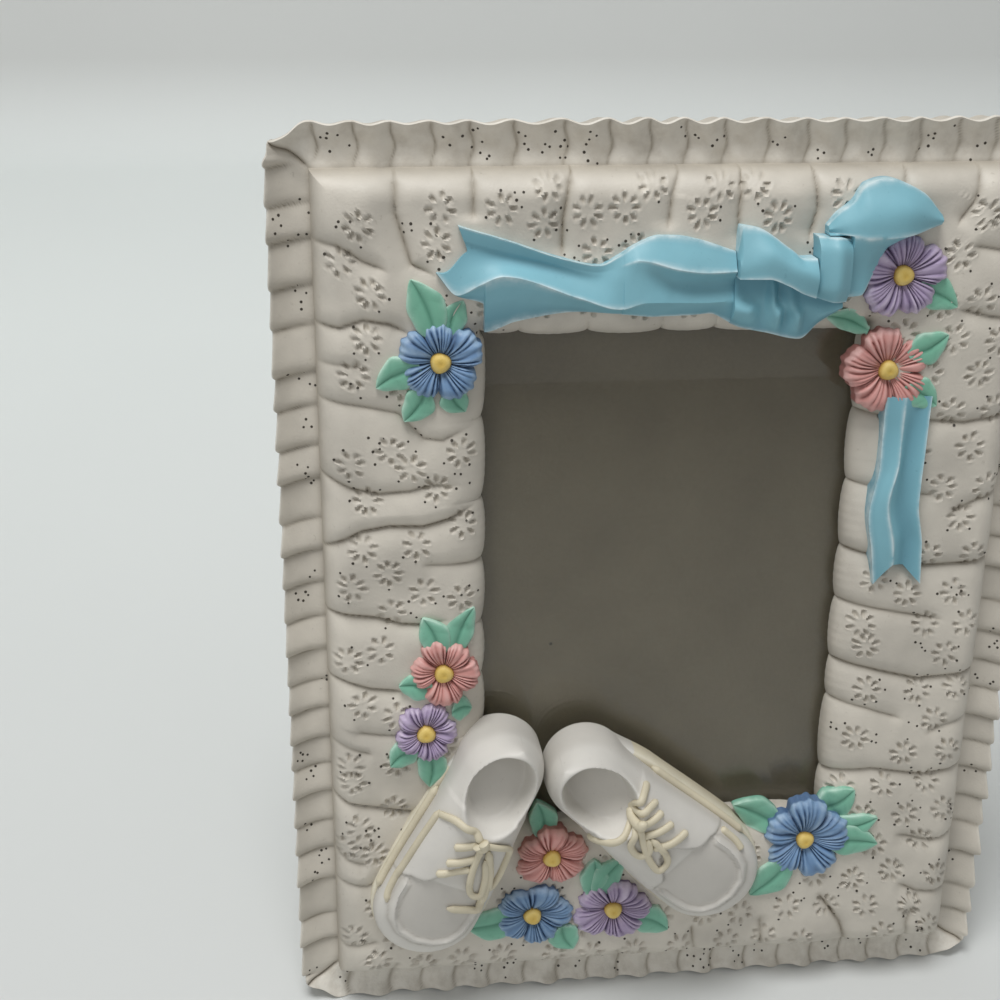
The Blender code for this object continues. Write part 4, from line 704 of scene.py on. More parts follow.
def pleat(side, x, v, share):
    """Lift of the pleats from 0 to 1, their swell at the edge, and painted shade in their folds."""
    upright = side in UPRIGHT
    folds = np.array(FOLDS["left" if upright else side])
    along = x + 0.5 * np.sin(v * 0.8)
    if upright:
        along = v + 1.6 * (share - 0.5) + (0.0 if side == "left" else 2.6)
    k, run = segment(folds, along)
    run = 1 - run if upright else run
    lift = 1.3 * run ** 0.8 * (1 - run ** 8)
    swell = run ** 1.4 * (1 - run ** 14)
    if not upright:
        lift = 0.4 * lift + 0.5 * (0.5 - 0.5 * np.cos(2 * np.pi * run ** 1.15))
        swell = 0.5 + 0.5 * np.cos(2 * np.pi * (run - 0.9))
    uneven = 0.8 + 0.35 * np.sin(k * 2.4 + len(side))
    return lift * uneven, swell, np.exp(-run / 0.05) + np.exp(-(1 - run) / 0.035)


def ruffle():
    """Pleated edge as one closed ring."""
    inner = ring_corners(SEAM_X - 2, SEAM_LOW + 2, SEAM_HIGH - 2)
    seam = ring_corners(SEAM_X, SEAM_LOW, SEAM_HIGH)
    outer = ring_corners(EDGE_X, 0.0, FRAME_HEIGHT)
    blocks, marks = [], []
    picks = {
        side: [(rng.uniform(0.02, 0.98), rng.uniform(0.25, 0.85)) for _ in range(RUFFLE_CLUSTERS)]
        for side in SIDES}
    for k, side in enumerate(SIDES):
        count = RUFFLE_SIDE if side in UPRIGHT else RUFFLE_TOP
        u = np.linspace(0, 1, count, endpoint=False)[:, None]
        start, joint, end = (side_line(corners, k, u) for corners in (inner, seam, outer))
        share = np.linspace(0, 1, RUFFLE_ROWS)[:, None]
        x = start[:, 0] + (end - start)[:, 0] * share
        v = start[:, 1] + (end - start)[:, 1] * share
        lift, swell, fold = pleat(side, x, v, share)
        corner = np.minimum(u[:, 0], 1 - u[:, 0]) * (FRAME_HEIGHT if side in UPRIGHT else 2 * EDGE_X)
        flat = ease((corner - 1.0) / 5.0)
        lift = lift * flat + 0.75 * (1 - flat)
        swell = swell * flat + 0.5 * (1 - flat)
        mitre = np.exp(-corner / 0.8) * ease((share - 0.1) / 0.2)
        flare = PLEAT_FLARE - 1.5 * np.sin(np.pi * share) + 0.9 * share ** 2
        height = flare - 0.95 + (PLEAT_LIFT + PLEAT_EDGE_LIFT * share) * lift - 1.1 * mitre
        push = (swell - 0.45) * (0.85 + 0.3 * drift(x, v, 14.0, 31 + k)) * ease((share - 0.45) / 0.55)
        x = x + AWAY[side][0] * push
        v = v + AWAY[side][1] * push
        beside = 1 - ease((EDGE_X - abs(x)) / RUFFLE_WIDTH)
        level = 1 - ease((FRAME_HEIGHT - v) / RUFFLE_WIDTH)
        ground = 1 - ease(v / RUFFLE_WIDTH)
        v = v + CORNER_DROOP * beside * (ground - level)
        x = x - np.sign(x) * beside * (ground + level)
        seam_gap = np.minimum(np.minimum(SEAM_X - abs(x), v - SEAM_LOW), SEAM_HIGH - v)
        # Painted shade along the seam, in the pleats' folds and at the mitred corners
        painted_shade = 0.4 * np.exp(-np.clip(-seam_gap, 0, 9) / 0.6)
        painted_shade = painted_shade + 0.7 * fold * np.clip(share * 2, 0.3, 1) * flat + 0.6 * mitre
        surface = spot(x, v, height)
        pits = set()
        for at_u, at_q in picks[side]:
            for _ in range(int(rng.integers(3, 6))):
                column = int(at_u * count + rng.uniform(-3.2, 3.2))
                row = int(at_q * RUFFLE_ROWS + rng.uniform(-3.2, 3.2))
                apart = all(abs(row - a) + abs(column - b) > 2 for a, b in pits)
                if 2 < row < RUFFLE_ROWS - 2 and 2 < column < count - 2 and apart:
                    pits.add((row, column))
        pinholes("pinholes_ruffle_" + side, surface, sorted(pits))
        rows = [surface]
        rim = (
            (-0.22, height[-1] - 0.35), (-0.25, height[-1] - 0.95), (0.1, height[-1] - 2.0),
            (0.5, height[-1] - 5.0), (0.6, 0.0))
        for inset, level in rim:
            rows.append(spot(x[-1] - AWAY[side][0] * inset, v[-1] - AWAY[side][1] * inset, level)[None])
        rows += [spot(*joint.T, 0.0)[None], spot(*start.T, 0.6)[None]]
        blocks.append(np.concatenate(rows))
        # Some painted shade on the rim's lower rows and the back
        under = np.repeat([0.0, 0.0, 0.2, 0.3, 0.3, 0.2, 0.2], count).reshape(-1, count)
        marks.append(np.concatenate([painted_shade, under]))
    points = np.concatenate(blocks, axis=1)
    points[..., 2] = np.maximum(points[..., 2], GROUND)
    painted_shade = np.concatenate(marks, axis=1)
    # Painted light: the top and bottom sides are paled against the shade they get, less so in the folds, and
    # the outer edge gets a painted highlight
    wear_and_highlight = np.zeros(painted_shade.shape)
    wear_and_highlight[:RUFFLE_ROWS, RUFFLE_SIDE:RUFFLE_SIDE + RUFFLE_TOP] = 0.7
    wear_and_highlight[:RUFFLE_ROWS, -RUFFLE_TOP:] = 0.9
    wear_and_highlight[:RUFFLE_ROWS] *= 1 - clamp(2.2 * painted_shade[:RUFFLE_ROWS])
    wear_and_highlight[RUFFLE_ROWS - 1:RUFFLE_ROWS + 2] = 0.6
    faces = grid_faces(*painted_shade.shape, True, True)
    part = (points, faces, {"painted_shade": painted_shade, "wear_and_highlight": wear_and_highlight})
    piece = mesh_piece("ruffle", [part], IVORY, 60)
    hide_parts("front_casting")


# Ribbon and bow: rails as run in half openings, offset above the opening and height above the crest.
# On ribbon_tail_right the run is upright in mm, and the offset goes sideways from the opening
TAIL_AND_WAVE = (
    ((-1.226, 25.3, 1.6), (-1.12, 23.6, 1.8), (-0.9, 20.7, 1.9), (-0.59, 16.3, 2), (-0.43, 15, 2),
     (-0.33, 17, 2.2), (-0.24, 19.3, 1.6), (-0.13, 20.9, 1.2), (-0.04, 20.8, 1), (0.07, 19.9, 1),
     (0.25, 17.4, 1.4)),
    ((-1.226, 22.6, 1.3), (-1, 19.6, 1.2), (-0.7, 16.3, 1.3), (-0.43, 13.6, 1.8), (-0.33, 15, 2.9),
     (-0.24, 16.3, 4.2), (-0.04, 14.3, 4.4), (0.11, 13.5, 4), (0.25, 13.6, 3.8)),
    ((-1.226, 20, 1), (-1, 17.3, 0.8), (-0.7, 14.6, 0.9), (-0.43, 11.5, 2.2), (-0.33, 12, 3.6),
     (-0.24, 12.8, 4), (-0.12, 11.8, 2.4), (-0.04, 11, 1.6), (0.11, 10.5, 1.2), (0.25, 10.8, 1.2)),
    ((-1.226, 14, 1.6), (-1.127, 9.4, 2.2), (-1.02, 11.7, 3.4), (-0.908, 13.5, 4), (-0.534, 8.8, 4.4),
     (-0.33, 6.2, 4.2), (-0.2, 7.5, 4.4), (-0.04, 7, 2.6), (0.11, 6.8, 2.2), (0.25, 7, 2)),
    ((-1.226, 13.5, 0), (-1.127, 8.8, 0.2), (-0.995, 7.2, 0.8), (-0.988, 0.8, -0.6), (-0.83, 3.1, 0),
     (-0.532, 5, 0.4), (-0.33, 4.6, 1.5), (-0.137, 3.8, 1.2), (0.03, 3.8, 0.4), (0.14, 4, 0), (0.25, 1.9, 0)),
)
# First and last run of the pieces that share their rails
SPLIT = {
    "ribbon_tail_left": (-1.226, -0.312),
    "ribbon_wave": (-0.312, 0.25),
}
# Rails of each ribbon
RIBBONS = {
    "ribbon_tail_left": TAIL_AND_WAVE,
    "ribbon_wave": TAIL_AND_WAVE,
    "ribbon_drape": (
        ((0.25, 13.6, 2), (0.39, 14.2, 2.2), (0.5, 13.2, 2), (0.58, 11.8, 1.8), (0.656, 10, 1.6),
         (0.815, 6.4, 1.2)),
        ((0.25, 8.4, 2.6), (0.33, 8.2, 1.7), (0.4, 8.2, 1.9), (0.44, 8, 4), (0.48, 7.6, 1.6), (0.54, 7, 2.9),
         (0.6, 6.2, 1.6), (0.7, 5.6, 1.8), (0.815, 5.8, 1.5)),
        ((0.25, 5, 3.4), (0.32, 4.8, 3.8), (0.4, 4.4, 1.5), (0.47, 4.2, 4.3), (0.52, 3.8, 1.2),
         (0.58, 3.4, 3.4), (0.63, 3, 1.3), (0.72, 3.8, 2.1), (0.815, 5, 1.6)),
        ((0.25, 1.7, 0), (0.303, 0.8, 0.2), (0.435, -0.4, 0.2), (0.61, -1.9, 0.4), (0.71, 1.5, 0.2),
         (0.815, 4.4, 0.4)),
    ),
    "bow_loop_left": (
        ((0.254, 17.6, 2), (0.272, 22.8, 2.4), (0.348, 22.4, 2.6), (0.518, 18, 3.4), (0.586, 16.1, 3.8),
         (0.645, 16.2, 4.2)),
        ((0.254, 15.6, 5.2), (0.4, 17.4, 6.4), (0.52, 14.8, 6.6), (0.645, 12.6, 6.6)),
        ((0.254, 12.3, 5.4), (0.393, 12.4, 6.4), (0.496, 10.9, 6.2), (0.576, 9.1, 5.8), (0.645, 8, 5.4)),
    ),
    "bow_knot": (
        ((0.652, 20.6, 3), (0.735, 20.6, 5.6), (0.817, 20, 3.4)),
        ((0.652, 17.6, 5.4), (0.735, 17.6, 7.6), (0.817, 17.2, 5.2)),
        ((0.652, 10.6, 5.2), (0.735, 10.4, 7.4), (0.817, 10.2, 5)),
        ((0.652, 7.8, 3), (0.735, 7, 5.2), (0.817, 6.6, 3)),
    ),
    "bow_loop_right": (
        ((0.705, 22.6, 1.6), (0.746, 25, 2.4), (0.819, 27.6, 2.8), (0.885, 31.2, 2.6), (0.99, 32.2, 2.2),
         (1.17, 29.4, 1.8), (1.29, 24.4, 1.2)),
        ((0.705, 22, 2.6), (0.78, 23.4, 4.4), (0.9, 25.6, 5.8), (1.06, 26.4, 5.6), (1.29, 23.4, 2.2)),
        ((0.705, 21.4, 2), (0.82, 20.9, 5.4), (0.9, 20.4, 6), (1.06, 20.6, 5.4), (1.29, 22.7, 1.6)),
        ((0.705, 20.9, 3.4), (0.812, 20.7, 3.6), (0.822, 14, 3.2), (0.9, 14.4, 3.4), (0.98, 17.5, 3),
         (1.1, 19.8, 2.2), (1.29, 22.4, 1.2)),
        ((0.705, 20.8, 3), (0.812, 20.6, 3.2), (0.822, 7.4, 2), (0.9, 7.8, 2.4), (0.95, 12, 2.2),
         (1.02, 18, 2), (1.29, 22.3, 0.8)),
    ),
    "ribbon_tail_right": (
        ((-61, 5.6, 0.6), (-52, 4.2, 1), (-43, 2.7, 1.4), (-31, 4.2, 1), (-15.5, 4, 1)),
        ((-61, 9.6, 1.6), (-50, 8.4, 3.2), (-40, 6.4, 3), (-30, 8.2, 2.2), (-15.5, 8.4, 1.6)),
        ((-61, 12.6, 0.4), (-50, 12.2, 0.4), (-40, 10.2, 0.6), (-15.5, 11.6, 0.6)),
        ((-61, 16.6, 1.4), (-50, 15.6, 2), (-40, 13.8, 2.2), (-15.5, 14.6, 1.2)),
    ),
}
# Rails at which a ribbon turns over
CRISP = {
    "ribbon_tail_left": (1, 3), "ribbon_wave": (1, 3), "bow_loop_right": (2,), "ribbon_tail_right": (1,)}
# How far each rail of a forked end is drawn back from the ribbon's first run
FORKS = {
    "ribbon_tail_left": (0.106, 0.13, 0.151, 0, 0),
    "ribbon_tail_right": (0.5, 6, 5, 0.5),
}
# Steps between two rails and along a ribbon
ACROSS, RUN_STEPS = 9, 150


def ribbon(name):
    """Strip through its rails, smooth along and across them, crisp where it turns over."""
    rails, crisp = RIBBONS[name], CRISP.get(name, ())
    low, high = SPLIT.get(name, (rails[0][0][0], rails[0][-1][0]))
    stops = {run for rail in rails for run, _, _ in rail if low <= run <= high}
    runs = np.array(sorted(stops | set(np.linspace(low, high, RUN_STEPS))))
    runs = runs[np.concatenate([[True], np.diff(runs) > (high - low) * 0.0008])]
    last = len(rails) - 1
    steps = np.linspace(0, last, last * ACROSS + 1)
    span = (high - low) * 0.22
    offsets, levels, places = [], [], []
    for step in steps:
        run = runs
        if name in FORKS:
            shift = float(np.interp(step, range(last + 1), FORKS[name]))
            run = runs + shift * (1 - ease((runs - low) / span))
        curves = np.array([
            [smooth(*np.array(rail)[:, (0, part)].T, run) for part in (1, 2)] for rail in rails])
        k = min(int(step), last - 1)
        t = step - k
        ahead = curves[k + 1] - curves[k]
        leave = ahead if k in crisp or k == 0 else (curves[k + 1] - curves[k - 1]) / 2
        arrive = ahead if k + 1 in crisp or k + 1 == last else (curves[k + 2] - curves[k]) / 2
        offset, level = bend_between(curves[k], curves[k + 1], leave, arrive, t)
        offsets.append(offset)
        levels.append(level)
        places.append(run)
    offsets, levels, places = (np.stack(value, 1) for value in (offsets, levels, places))
    if name == "ribbon_tail_right":
        x, v = OPEN_X + offsets, OPEN_HIGH + places
    else:
        x, v = places * OPEN_X, OPEN_HIGH + offsets
    w = CREST + levels + 0.16 * drift(x, v, 3.2, len(name))
    # Painted highlight along the ribbon's two edges and the rails where it turns over
    edge_gap = np.abs(steps[None] - np.array([0, last] + list(crisp))[:, None]) * 5.5
    paint = np.exp(-(edge_gap / 0.5) ** 2)
    keep = np.ones((len(paint), len(runs)))
    if name in SPLIT:
        keep[2] = ease((runs + 0.34) / 0.08)
        keep[3] = 1 - ease((runs + 0.32) / 0.14)
    wear_and_highlight = (keep[:, :, None] * paint[:, None, :]).max(0)
    # Painted shade, darker the lower the ribbon lies, with a painted shadow in the drape's hollow under the
    # bow loop
    painted_shade = np.clip((CREST + 2.0 - w) / 3.4, 0, 0.7)
    if name == "ribbon_drape":
        painted_shade = np.maximum(painted_shade, 0.6 * (1 - ease((steps[None] - 0.7) / 0.8)))
    across, count = len(steps), len(runs)
    top = spot(x, v, w)
    low = spot(x, v, np.full_like(w, SEAT + 0.3))
    faces = grid_faces(count, across)
    faces += [face[::-1] for face in grid_faces(count, across, offset=count * across)]
    rim = [(i, 0) for i in range(count)] + [(count - 1, j) for j in range(1, across)]
    rim += [(i, across - 1) for i in range(count - 2, -1, -1)] + [(0, j) for j in range(across - 2, 0, -1)]
    rim = [i * across + j for i, j in rim]
    under = count * across
    faces += [[one, two, two + under, one + under] for one, two in zip(rim, rim[1:] + rim[:1])]
    # The underside gets painted shade
    marks = {"painted_shade": np.concatenate([painted_shade.ravel(), np.full(under, 0.85)]),
             "wear_and_highlight": np.concatenate([wear_and_highlight.ravel(), np.zeros(under)])}
    points = np.concatenate([top.reshape(-1, 3), low.reshape(-1, 3)])
    piece = mesh_piece(name + "_cloth", [(points, faces, marks)], RIBBON, 42)
    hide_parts(name)


# Flowers: centre, half sizes, direction of each petal in degrees, colour
FLOWERS = {
    "top_left": ((-51.4, 166.7), (8.9, 8.9), (100, 143, 222, 311, 30), "blue"),
    "left_upper": ((-51.2, 93.7), (8, 8.3), (168, 112, 54, 356, 273), "pink"),
    "left_lower": ((-55.4, 78.4), (7.5, 7.5), (131, 69, 0, 293, 200), "purple"),
    "bottom_upper": ((-25.3, 42.2), (9.2, 7.6), (148, 88, 29, 315, 213), "pink"),
    "bottom_left": ((-29.9, 26.3), (9.6, 8.6), (134, 60, 7, 287, 216), "blue"),
    "bottom_middle": ((-9.9, 26.6), (9.7, 8.4), (142, 71, 5, 302, 205), "purple"),
    "bottom_right": ((37.5, 43.1), (10.7, 10.7), (88, 152, 225, 300, 10), "blue"),
    "top_right_upper": ((47.7, 183.6), (9.2, 9.2), (90, 160, 232, 305, 18), "purple"),
    "top_right_lower": ((46.8, 162.4), (9.7, 9.4), (102, 174, 246, 318, 30), "pink"),
}
# Steps round and across a flower, its grooves, their depth, and how far the gaps between petals cut in
ANGLES, RINGS, GROOVES, GROOVE_DEPTH, NOTCH = 240, 24, 34, 0.95, 0.21
EYE_SIDES, EYE_LIFT = 32, 0.75
# Radius and height of an eye, from its top down
EYE_PROFILE = (
    (0.02, 1.5), (0.5, 1.62), (1.1, 1.62), (1.7, 1.35), (2.1, 0.8), (2.25, 0.1), (2.15, -0.5), (0.02, -0.5))


def flower(name, seed):
    """Five grooved petals round a sunken throat, and the eye in it."""
    (cx, cv), half, petals, colour = FLOWERS[name]
    chance = np.random.default_rng(seed)
    angle = around(ANGLES)
    ways = np.sort(np.radians(np.array(petals, float)) % (2 * np.pi))
    ring = np.concatenate([[ways[-1] - 2 * np.pi], ways, [ways[0] + 2 * np.pi]])
    k, share = segment(ring, angle)
    gap = 1 - np.abs(2 * share - 1)
    size = chance.uniform(0.92, 1.05, len(ring))
    size[-1], size[0] = size[1], size[-2]
    ragged = 1 + 0.022 * np.sin(angle * 17 + seed) + 0.018 * np.sin(angle * 29 + 2 * seed)
    reach = np.where(share < 0.5, size[k], size[k + 1]) * (1 - NOTCH * gap ** 3.2) * ragged
    inner = np.linspace(0.12, 1, RINGS)[:, None]
    base = float(fabric(np.array(cx), np.array(cv))[0])
    body = smooth([0, 0.2, 0.45, 0.72, 0.9, 1.0], [0.5, 0.7, 1.9, 2.5, 2.0, 0.9], inner)
    split = gap[None] ** 9 * 1.3 * clamp((inner - 0.15) / 0.2)
    turn = angle * GROOVES / 2 + 1.9 * np.sin(angle * 3 + seed) + 1.1 * np.sin(angle * 8 + seed)
    wave = np.abs(np.sin(turn + 0.7 * np.sin(inner * 4 + seed)))
    strength = clamp((inner - 0.18) / 0.15) * clamp((1.12 - inner) / 0.3)
    strength = strength * (0.65 + 0.35 * np.sin(angle * 7 + seed * 2.0))
    groove = (1 - wave) ** 1.5 * strength
    tilt = 0.315 * np.cos(angle - ways[0] * 2 + seed)[None] * inner
    height = base + body - split - GROOVE_DEPTH * groove + tilt
    x = cx + inner * reach * half[0] * np.cos(angle)
    v = cv + inner * reach * half[1] * np.sin(angle)
    rows = [spot(x, v, height), spot(x[-1:], v[-1:], height[-1:] - 0.7), spot(x[-1:], v[-1:], BLOOM_FLOOR)]
    # Painted shade in the grooves, the gaps between petals, the throat and the outer wall; the ridges and
    # rims are paled, partly dry-brushed paint and partly painted highlight
    painted_shade = 0.85 * groove + 0.8 * clamp(split - 0.3) + 0.45 * clamp(1 - (inner - 0.15) / 0.2)
    wear_and_highlight = 0.7 * wave ** 6 * strength + 0.6 * clamp((inner - 0.84) / 0.1)
    low = np.full((2, ANGLES), 0.5)
    marks = {"painted_shade": np.concatenate([painted_shade, low]), "wear_and_highlight": np.concatenate([wear_and_highlight, low * 0])}
    piece = mesh_piece("bloom_" + name, [sleeve(rows, marks)], PETAL[colour], 60)
    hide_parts("flower_" + name)
    angle = around(EYE_SIDES)
    rows = []
    for radius, level in EYE_PROFILE:
        wobble = radius * (1 + 0.05 * np.sin(angle * 3 + seed))
        x, v = (cx + wobble * np.cos(angle), cv + wobble * np.sin(angle))
        rows.append(spot(x, v, base + EYE_LIFT + level)[None])
    # Painted shade on the eye's lower sides and underside, and a painted highlight on its upper shoulder
    marks = {"painted_shade": np.repeat([0.15, 0.0, 0.0, 0.0, 0.3, 0.7, 0.8, 0.8], EYE_SIDES),
             "wear_and_highlight": np.repeat([0.0, 0.1, 0.4, 0.6, 0.2, 0.0, 0.0, 0.0], EYE_SIDES)}
    eye = mesh_piece("eye_dome_" + name, [sleeve(rows, marks)], EYE, 80)
    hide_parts("eye_" + name)


# Leaves of each sprig: root, tip and width
LEAVES = {
    "top_left": (
        ((-52.4, 172), (-57.4, 184.4), 8.2), ((-49.4, 172.2), (-46.6, 179.9), 6.4),
        ((-55.6, 165.8), (-65, 161.5), 7.2), ((-54.4, 161.6), (-59.2, 154), 6.8),
        ((-49.4, 161.4), (-46, 155.4), 6.4),
    ),
    "left": (
        ((-52, 97.8), (-55.7, 107.4), 7), ((-49, 98), (-44.1, 108.8), 6.6),
        ((-53.6, 89.2), (-61.4, 90.8), 7.2), ((-49.4, 83.4), (-44.6, 83.6), 6.4),
        ((-57.6, 74.4), (-63.7, 70), 6.4), ((-54.8, 74), (-54.7, 64.2), 7.2),
    ),
    "bottom": (
        ((-27, 46.4), (-28.8, 56.4), 7), ((-14.6, 30.8), (-7.4, 41), 7), ((-16, 31.6), (-14.8, 41), 7),
        ((-4.6, 24), (4.2, 19.6), 8), ((-22.6, 22.8), (-19.6, 15.6), 7.8), ((-34.4, 26), (-46, 23.6), 9.2),
    ),
    "bottom_right": (
        ((31.4, 45.8), (19.6, 52.5), 8), ((34, 38), (24.6, 28.2), 8.6), ((40.6, 49.2), (49, 56.4), 8),
        ((43, 42), (56, 41), 8.2), ((43, 45), (55.4, 48.4), 6.6),
    ),
    "top_right": (
        ((42, 171), (32, 174.6), 5.2), ((50.6, 181), (60.6, 176.4), 7.2), ((50.6, 166), (59.4, 170.2), 7.2),
        ((50.4, 158.4), (58.4, 154.2), 7),
    ),
}
# Steps along and across a leaf
BLADE_RUNS, BLADE_ACROSS = 26, 17


def leaves(name):
    """Pointed leaves with a sunk midrib and turned-up sides."""
    parts = []
    for number, (root, tip, width) in enumerate(LEAVES[name]):
        root, tip = np.array(root, float), np.array(tip, float)
        along = tip - root
        length = np.linalg.norm(along)
        along /= length
        side = np.array((-along[1], along[0]))
        run = np.linspace(0, 1, BLADE_RUNS)[:, None]
        spread = width / 2 * clamp(np.sin(np.pi * run ** 0.85)) ** 0.72
        spread = np.maximum(spread * (1 + 0.05 * np.sin(run * 13 + number)), 0.22 + 0.8 * (1 - run) ** 3)
        across = np.sin(np.linspace(-np.pi / 2, np.pi / 2, BLADE_ACROSS))[None]
        bend = 0.8 * np.sin(np.pi * run) * (1 if number % 2 else -1)
        rib_x, rib_v = (root[k] + along[k] * length * run for k in (0, 1))
        x, v = (rib_x + side[0] * (spread * across + bend), rib_v + side[1] * (spread * across + bend))
        cloth = fabric(x, v)[0]
        ground = np.maximum(cloth * 0.5 + fabric(rib_x, rib_v)[0] * 0.5, SEAT + 2.2)
        out = np.abs(across)
        rib = np.exp(-out * spread / 0.35) * clamp(np.sin(np.pi * run * 0.97)) ** 0.4
        vein = (1 - np.abs(np.sin(9 * run + 2.2 * out))) ** 3 * out * (out < 0.85)
        dome = np.sqrt(clamp(1 - across ** 2))
        cup = 0.35 + 0.75 * dome ** 0.8 * (0.6 + 0.4 * out) + 0.5 * (1 - run)
        height = np.maximum(ground + cup - 0.4 * rib - 0.16 * vein, cloth + 0.3 - 0.15 * rib)
        # Painted shade in the midrib, the veins and towards the root under the flower; the edges are paled,
        # partly worn paint and partly painted highlight on the turned-up rims
        painted_shade = 0.7 * rib + 0.25 * vein + 0.35 * (1 - run) ** 4
        wear_and_highlight = 0.9 * np.exp(-(1 - out) * spread / 0.5) * np.ones_like(run)
        rows_x, rows_v = (np.hstack([value[:, :1], value, value[:, -1:]]) for value in (x, v))
        pad = np.ones((BLADE_RUNS, 1))
        floor = pad * (BLOOM_FLOOR - 0.6)
        # Painted shade on the leaf's side walls
        edges = {"painted_shade": (painted_shade, 0.4), "wear_and_highlight": (wear_and_highlight, 0)}
        marks = {key: np.hstack([pad * rim, value, pad * rim]) for key, (value, rim) in edges.items()}
        parts.append(sleeve([spot(rows_x, rows_v, np.hstack([floor, height, floor]))], marks))
    piece = mesh_piece("sprig_" + name, parts, LEAF, 60)
    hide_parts("leaves_" + name)


# Shoes: middle of the heel's round, heading and outer side. A place on a shoe is its run from the heel end
# and its reach towards the outer side
SHOES = {
    "left": (np.array((-38.4, 70.0)), np.radians(-24.5), 1),
    "right": (np.array((-17.6, 66.4)), np.radians(46.0), -1),
}
# Height along the middle of a shoe, at shares of its length
CROWN = ((0, 11.6), (0.1, 13), (0.28, 12.6), (0.45, 11), (0.62, 9.4), (0.8, 7.2), (0.9, 6), (1, 5.2))
# Rim round the toe panel, and the laces, in run and reach
TOE_RIM = (
    (44.5, 9.4), (48, 9.5), (51.6, 9.2), (55, 8), (57.8, 5), (59, 0.6), (58.4, -3.8), (56.2, -7.2),
    (53, -8.9), (48.6, -9.4), (44.5, -9.4))
LACES = {
    "left": {
        "bars": (
            ((28.4, 4.6), (27, 2.2), (24.9, -0.4)), ((33.2, 4.4), (31.6, 1.6), (28.8, -1.8)),
            ((37, 5.2), (35.4, 2), (32.4, -1.6)), ((23.9, 9.9), (22, 6.8), (22, 2.6), (24, 0)),
        ),
        "loops": (
            ((24.4, -0.6), (24.4, -5), (25.4, -8.6), (29.4, -9.4), (34.4, -9.8), (37.6, -8.8), (32.4, -6.6),
             (27.4, -3.6)),
            ((25.2, -1), (30.6, -1.6), (36.2, -3), (40, -5.4), (39.6, -7.6), (34, -6), (28.6, -3.4)),
        ),
        "ends": (((26, -3), (33, -6.6), (41, -8.8), (44.6, -9.4), (45.3, -6.2), (46.2, -1.8)),),
        "knot": (24.4, -0.4),
    },
    "right": {
        "bars": (
            ((23, 8.4), (21.4, 5.6), (20.2, 2.6)), ((25.6, 7.4), (24.6, 4.6), (22.4, 2)),
            ((29.8, 6.9), (28.2, 3.6), (25.6, 0.4)), ((34.4, 7.4), (33.2, 3.2), (30.2, -0.6)),
            ((19, 9.6), (18.8, 6.2), (20.4, 3)),
        ),
        "loops": (
            ((21.6, 2.2), (23.4, -0.4), (25.2, -3.4), (29, -4.4), (30.4, -2), (27, 0.6)),
            ((22.2, 2.2), (26.6, -0.6), (32, -3.4), (36.4, -4.6), (37, -1.8), (33, 0.4), (27.6, 1.2)),
        ),
        "ends": (((21.4, 2.2), (22.2, -1.6), (20.8, -5.8), (18.6, -9.6)),),
        "knot": (21.4, 2.6),
    },
}
# Middle, half length and half width of the foot opening
OPEN_RUN, OPEN_HALF, OPEN_SIDE = 12.4, 10.4, 7.4
# Reach and run of the lacing flaps' front edge
FLAP = ((0, 33.6), (2, 34.8), (3.2, 37), (4.9, 39.6), (6.8, 41.4), (9, 41.8), (10.8, 43), (13, 43.6))
SKIN_RUNS, SKIN_ACROSS, SOLE_STEPS = 170, 76, 90
FLAP_STEP, RIM_HEIGHT, SKIRT_DROP = 0.75, 0.95, 4.6
# Piping on the outer side in run and reach, and the point at which each shoe's starts
PIPING = ((23.4, 9.9), (27, 10.2), (32, 10.7), (38, 11.2), (44, 11.6), (48.5, 11.6), (52, 10.9))
PIPING_START = {"left": 0, "right": 4}
# Kinds of cord: height above the skin, radius and flatness
CORDS = {"bars": (0.45, 0.95, 0.8), "loops": (0.8, 0.85, 0.75), "ends": (0.6, 0.95, 0.8)}


def half_width(run):
    """Half width of the shoe, round at the heel and at the toe."""
    share = ease((run - HEEL_RADIUS) / (TOE_START - HEEL_RADIUS))
    heel_round = np.sqrt(np.clip(HEEL_RADIUS ** 2 - np.clip(HEEL_RADIUS - run, 0, None) ** 2, 0, None))
    toe_round = np.sqrt(np.clip(TOE_RADIUS ** 2 - np.clip(run - TOE_START, 0, None) ** 2, 0, None))
    width = HEEL_RADIUS + (TOE_RADIUS - HEEL_RADIUS) * share
    return np.where(run < HEEL_RADIUS, heel_round, np.where(run > TOE_START, toe_round, width))


def flap_edge(reach):
    """Run at which the flaps' front edge crosses each reach."""
    return smooth(*np.array(FLAP).T, np.abs(reach))


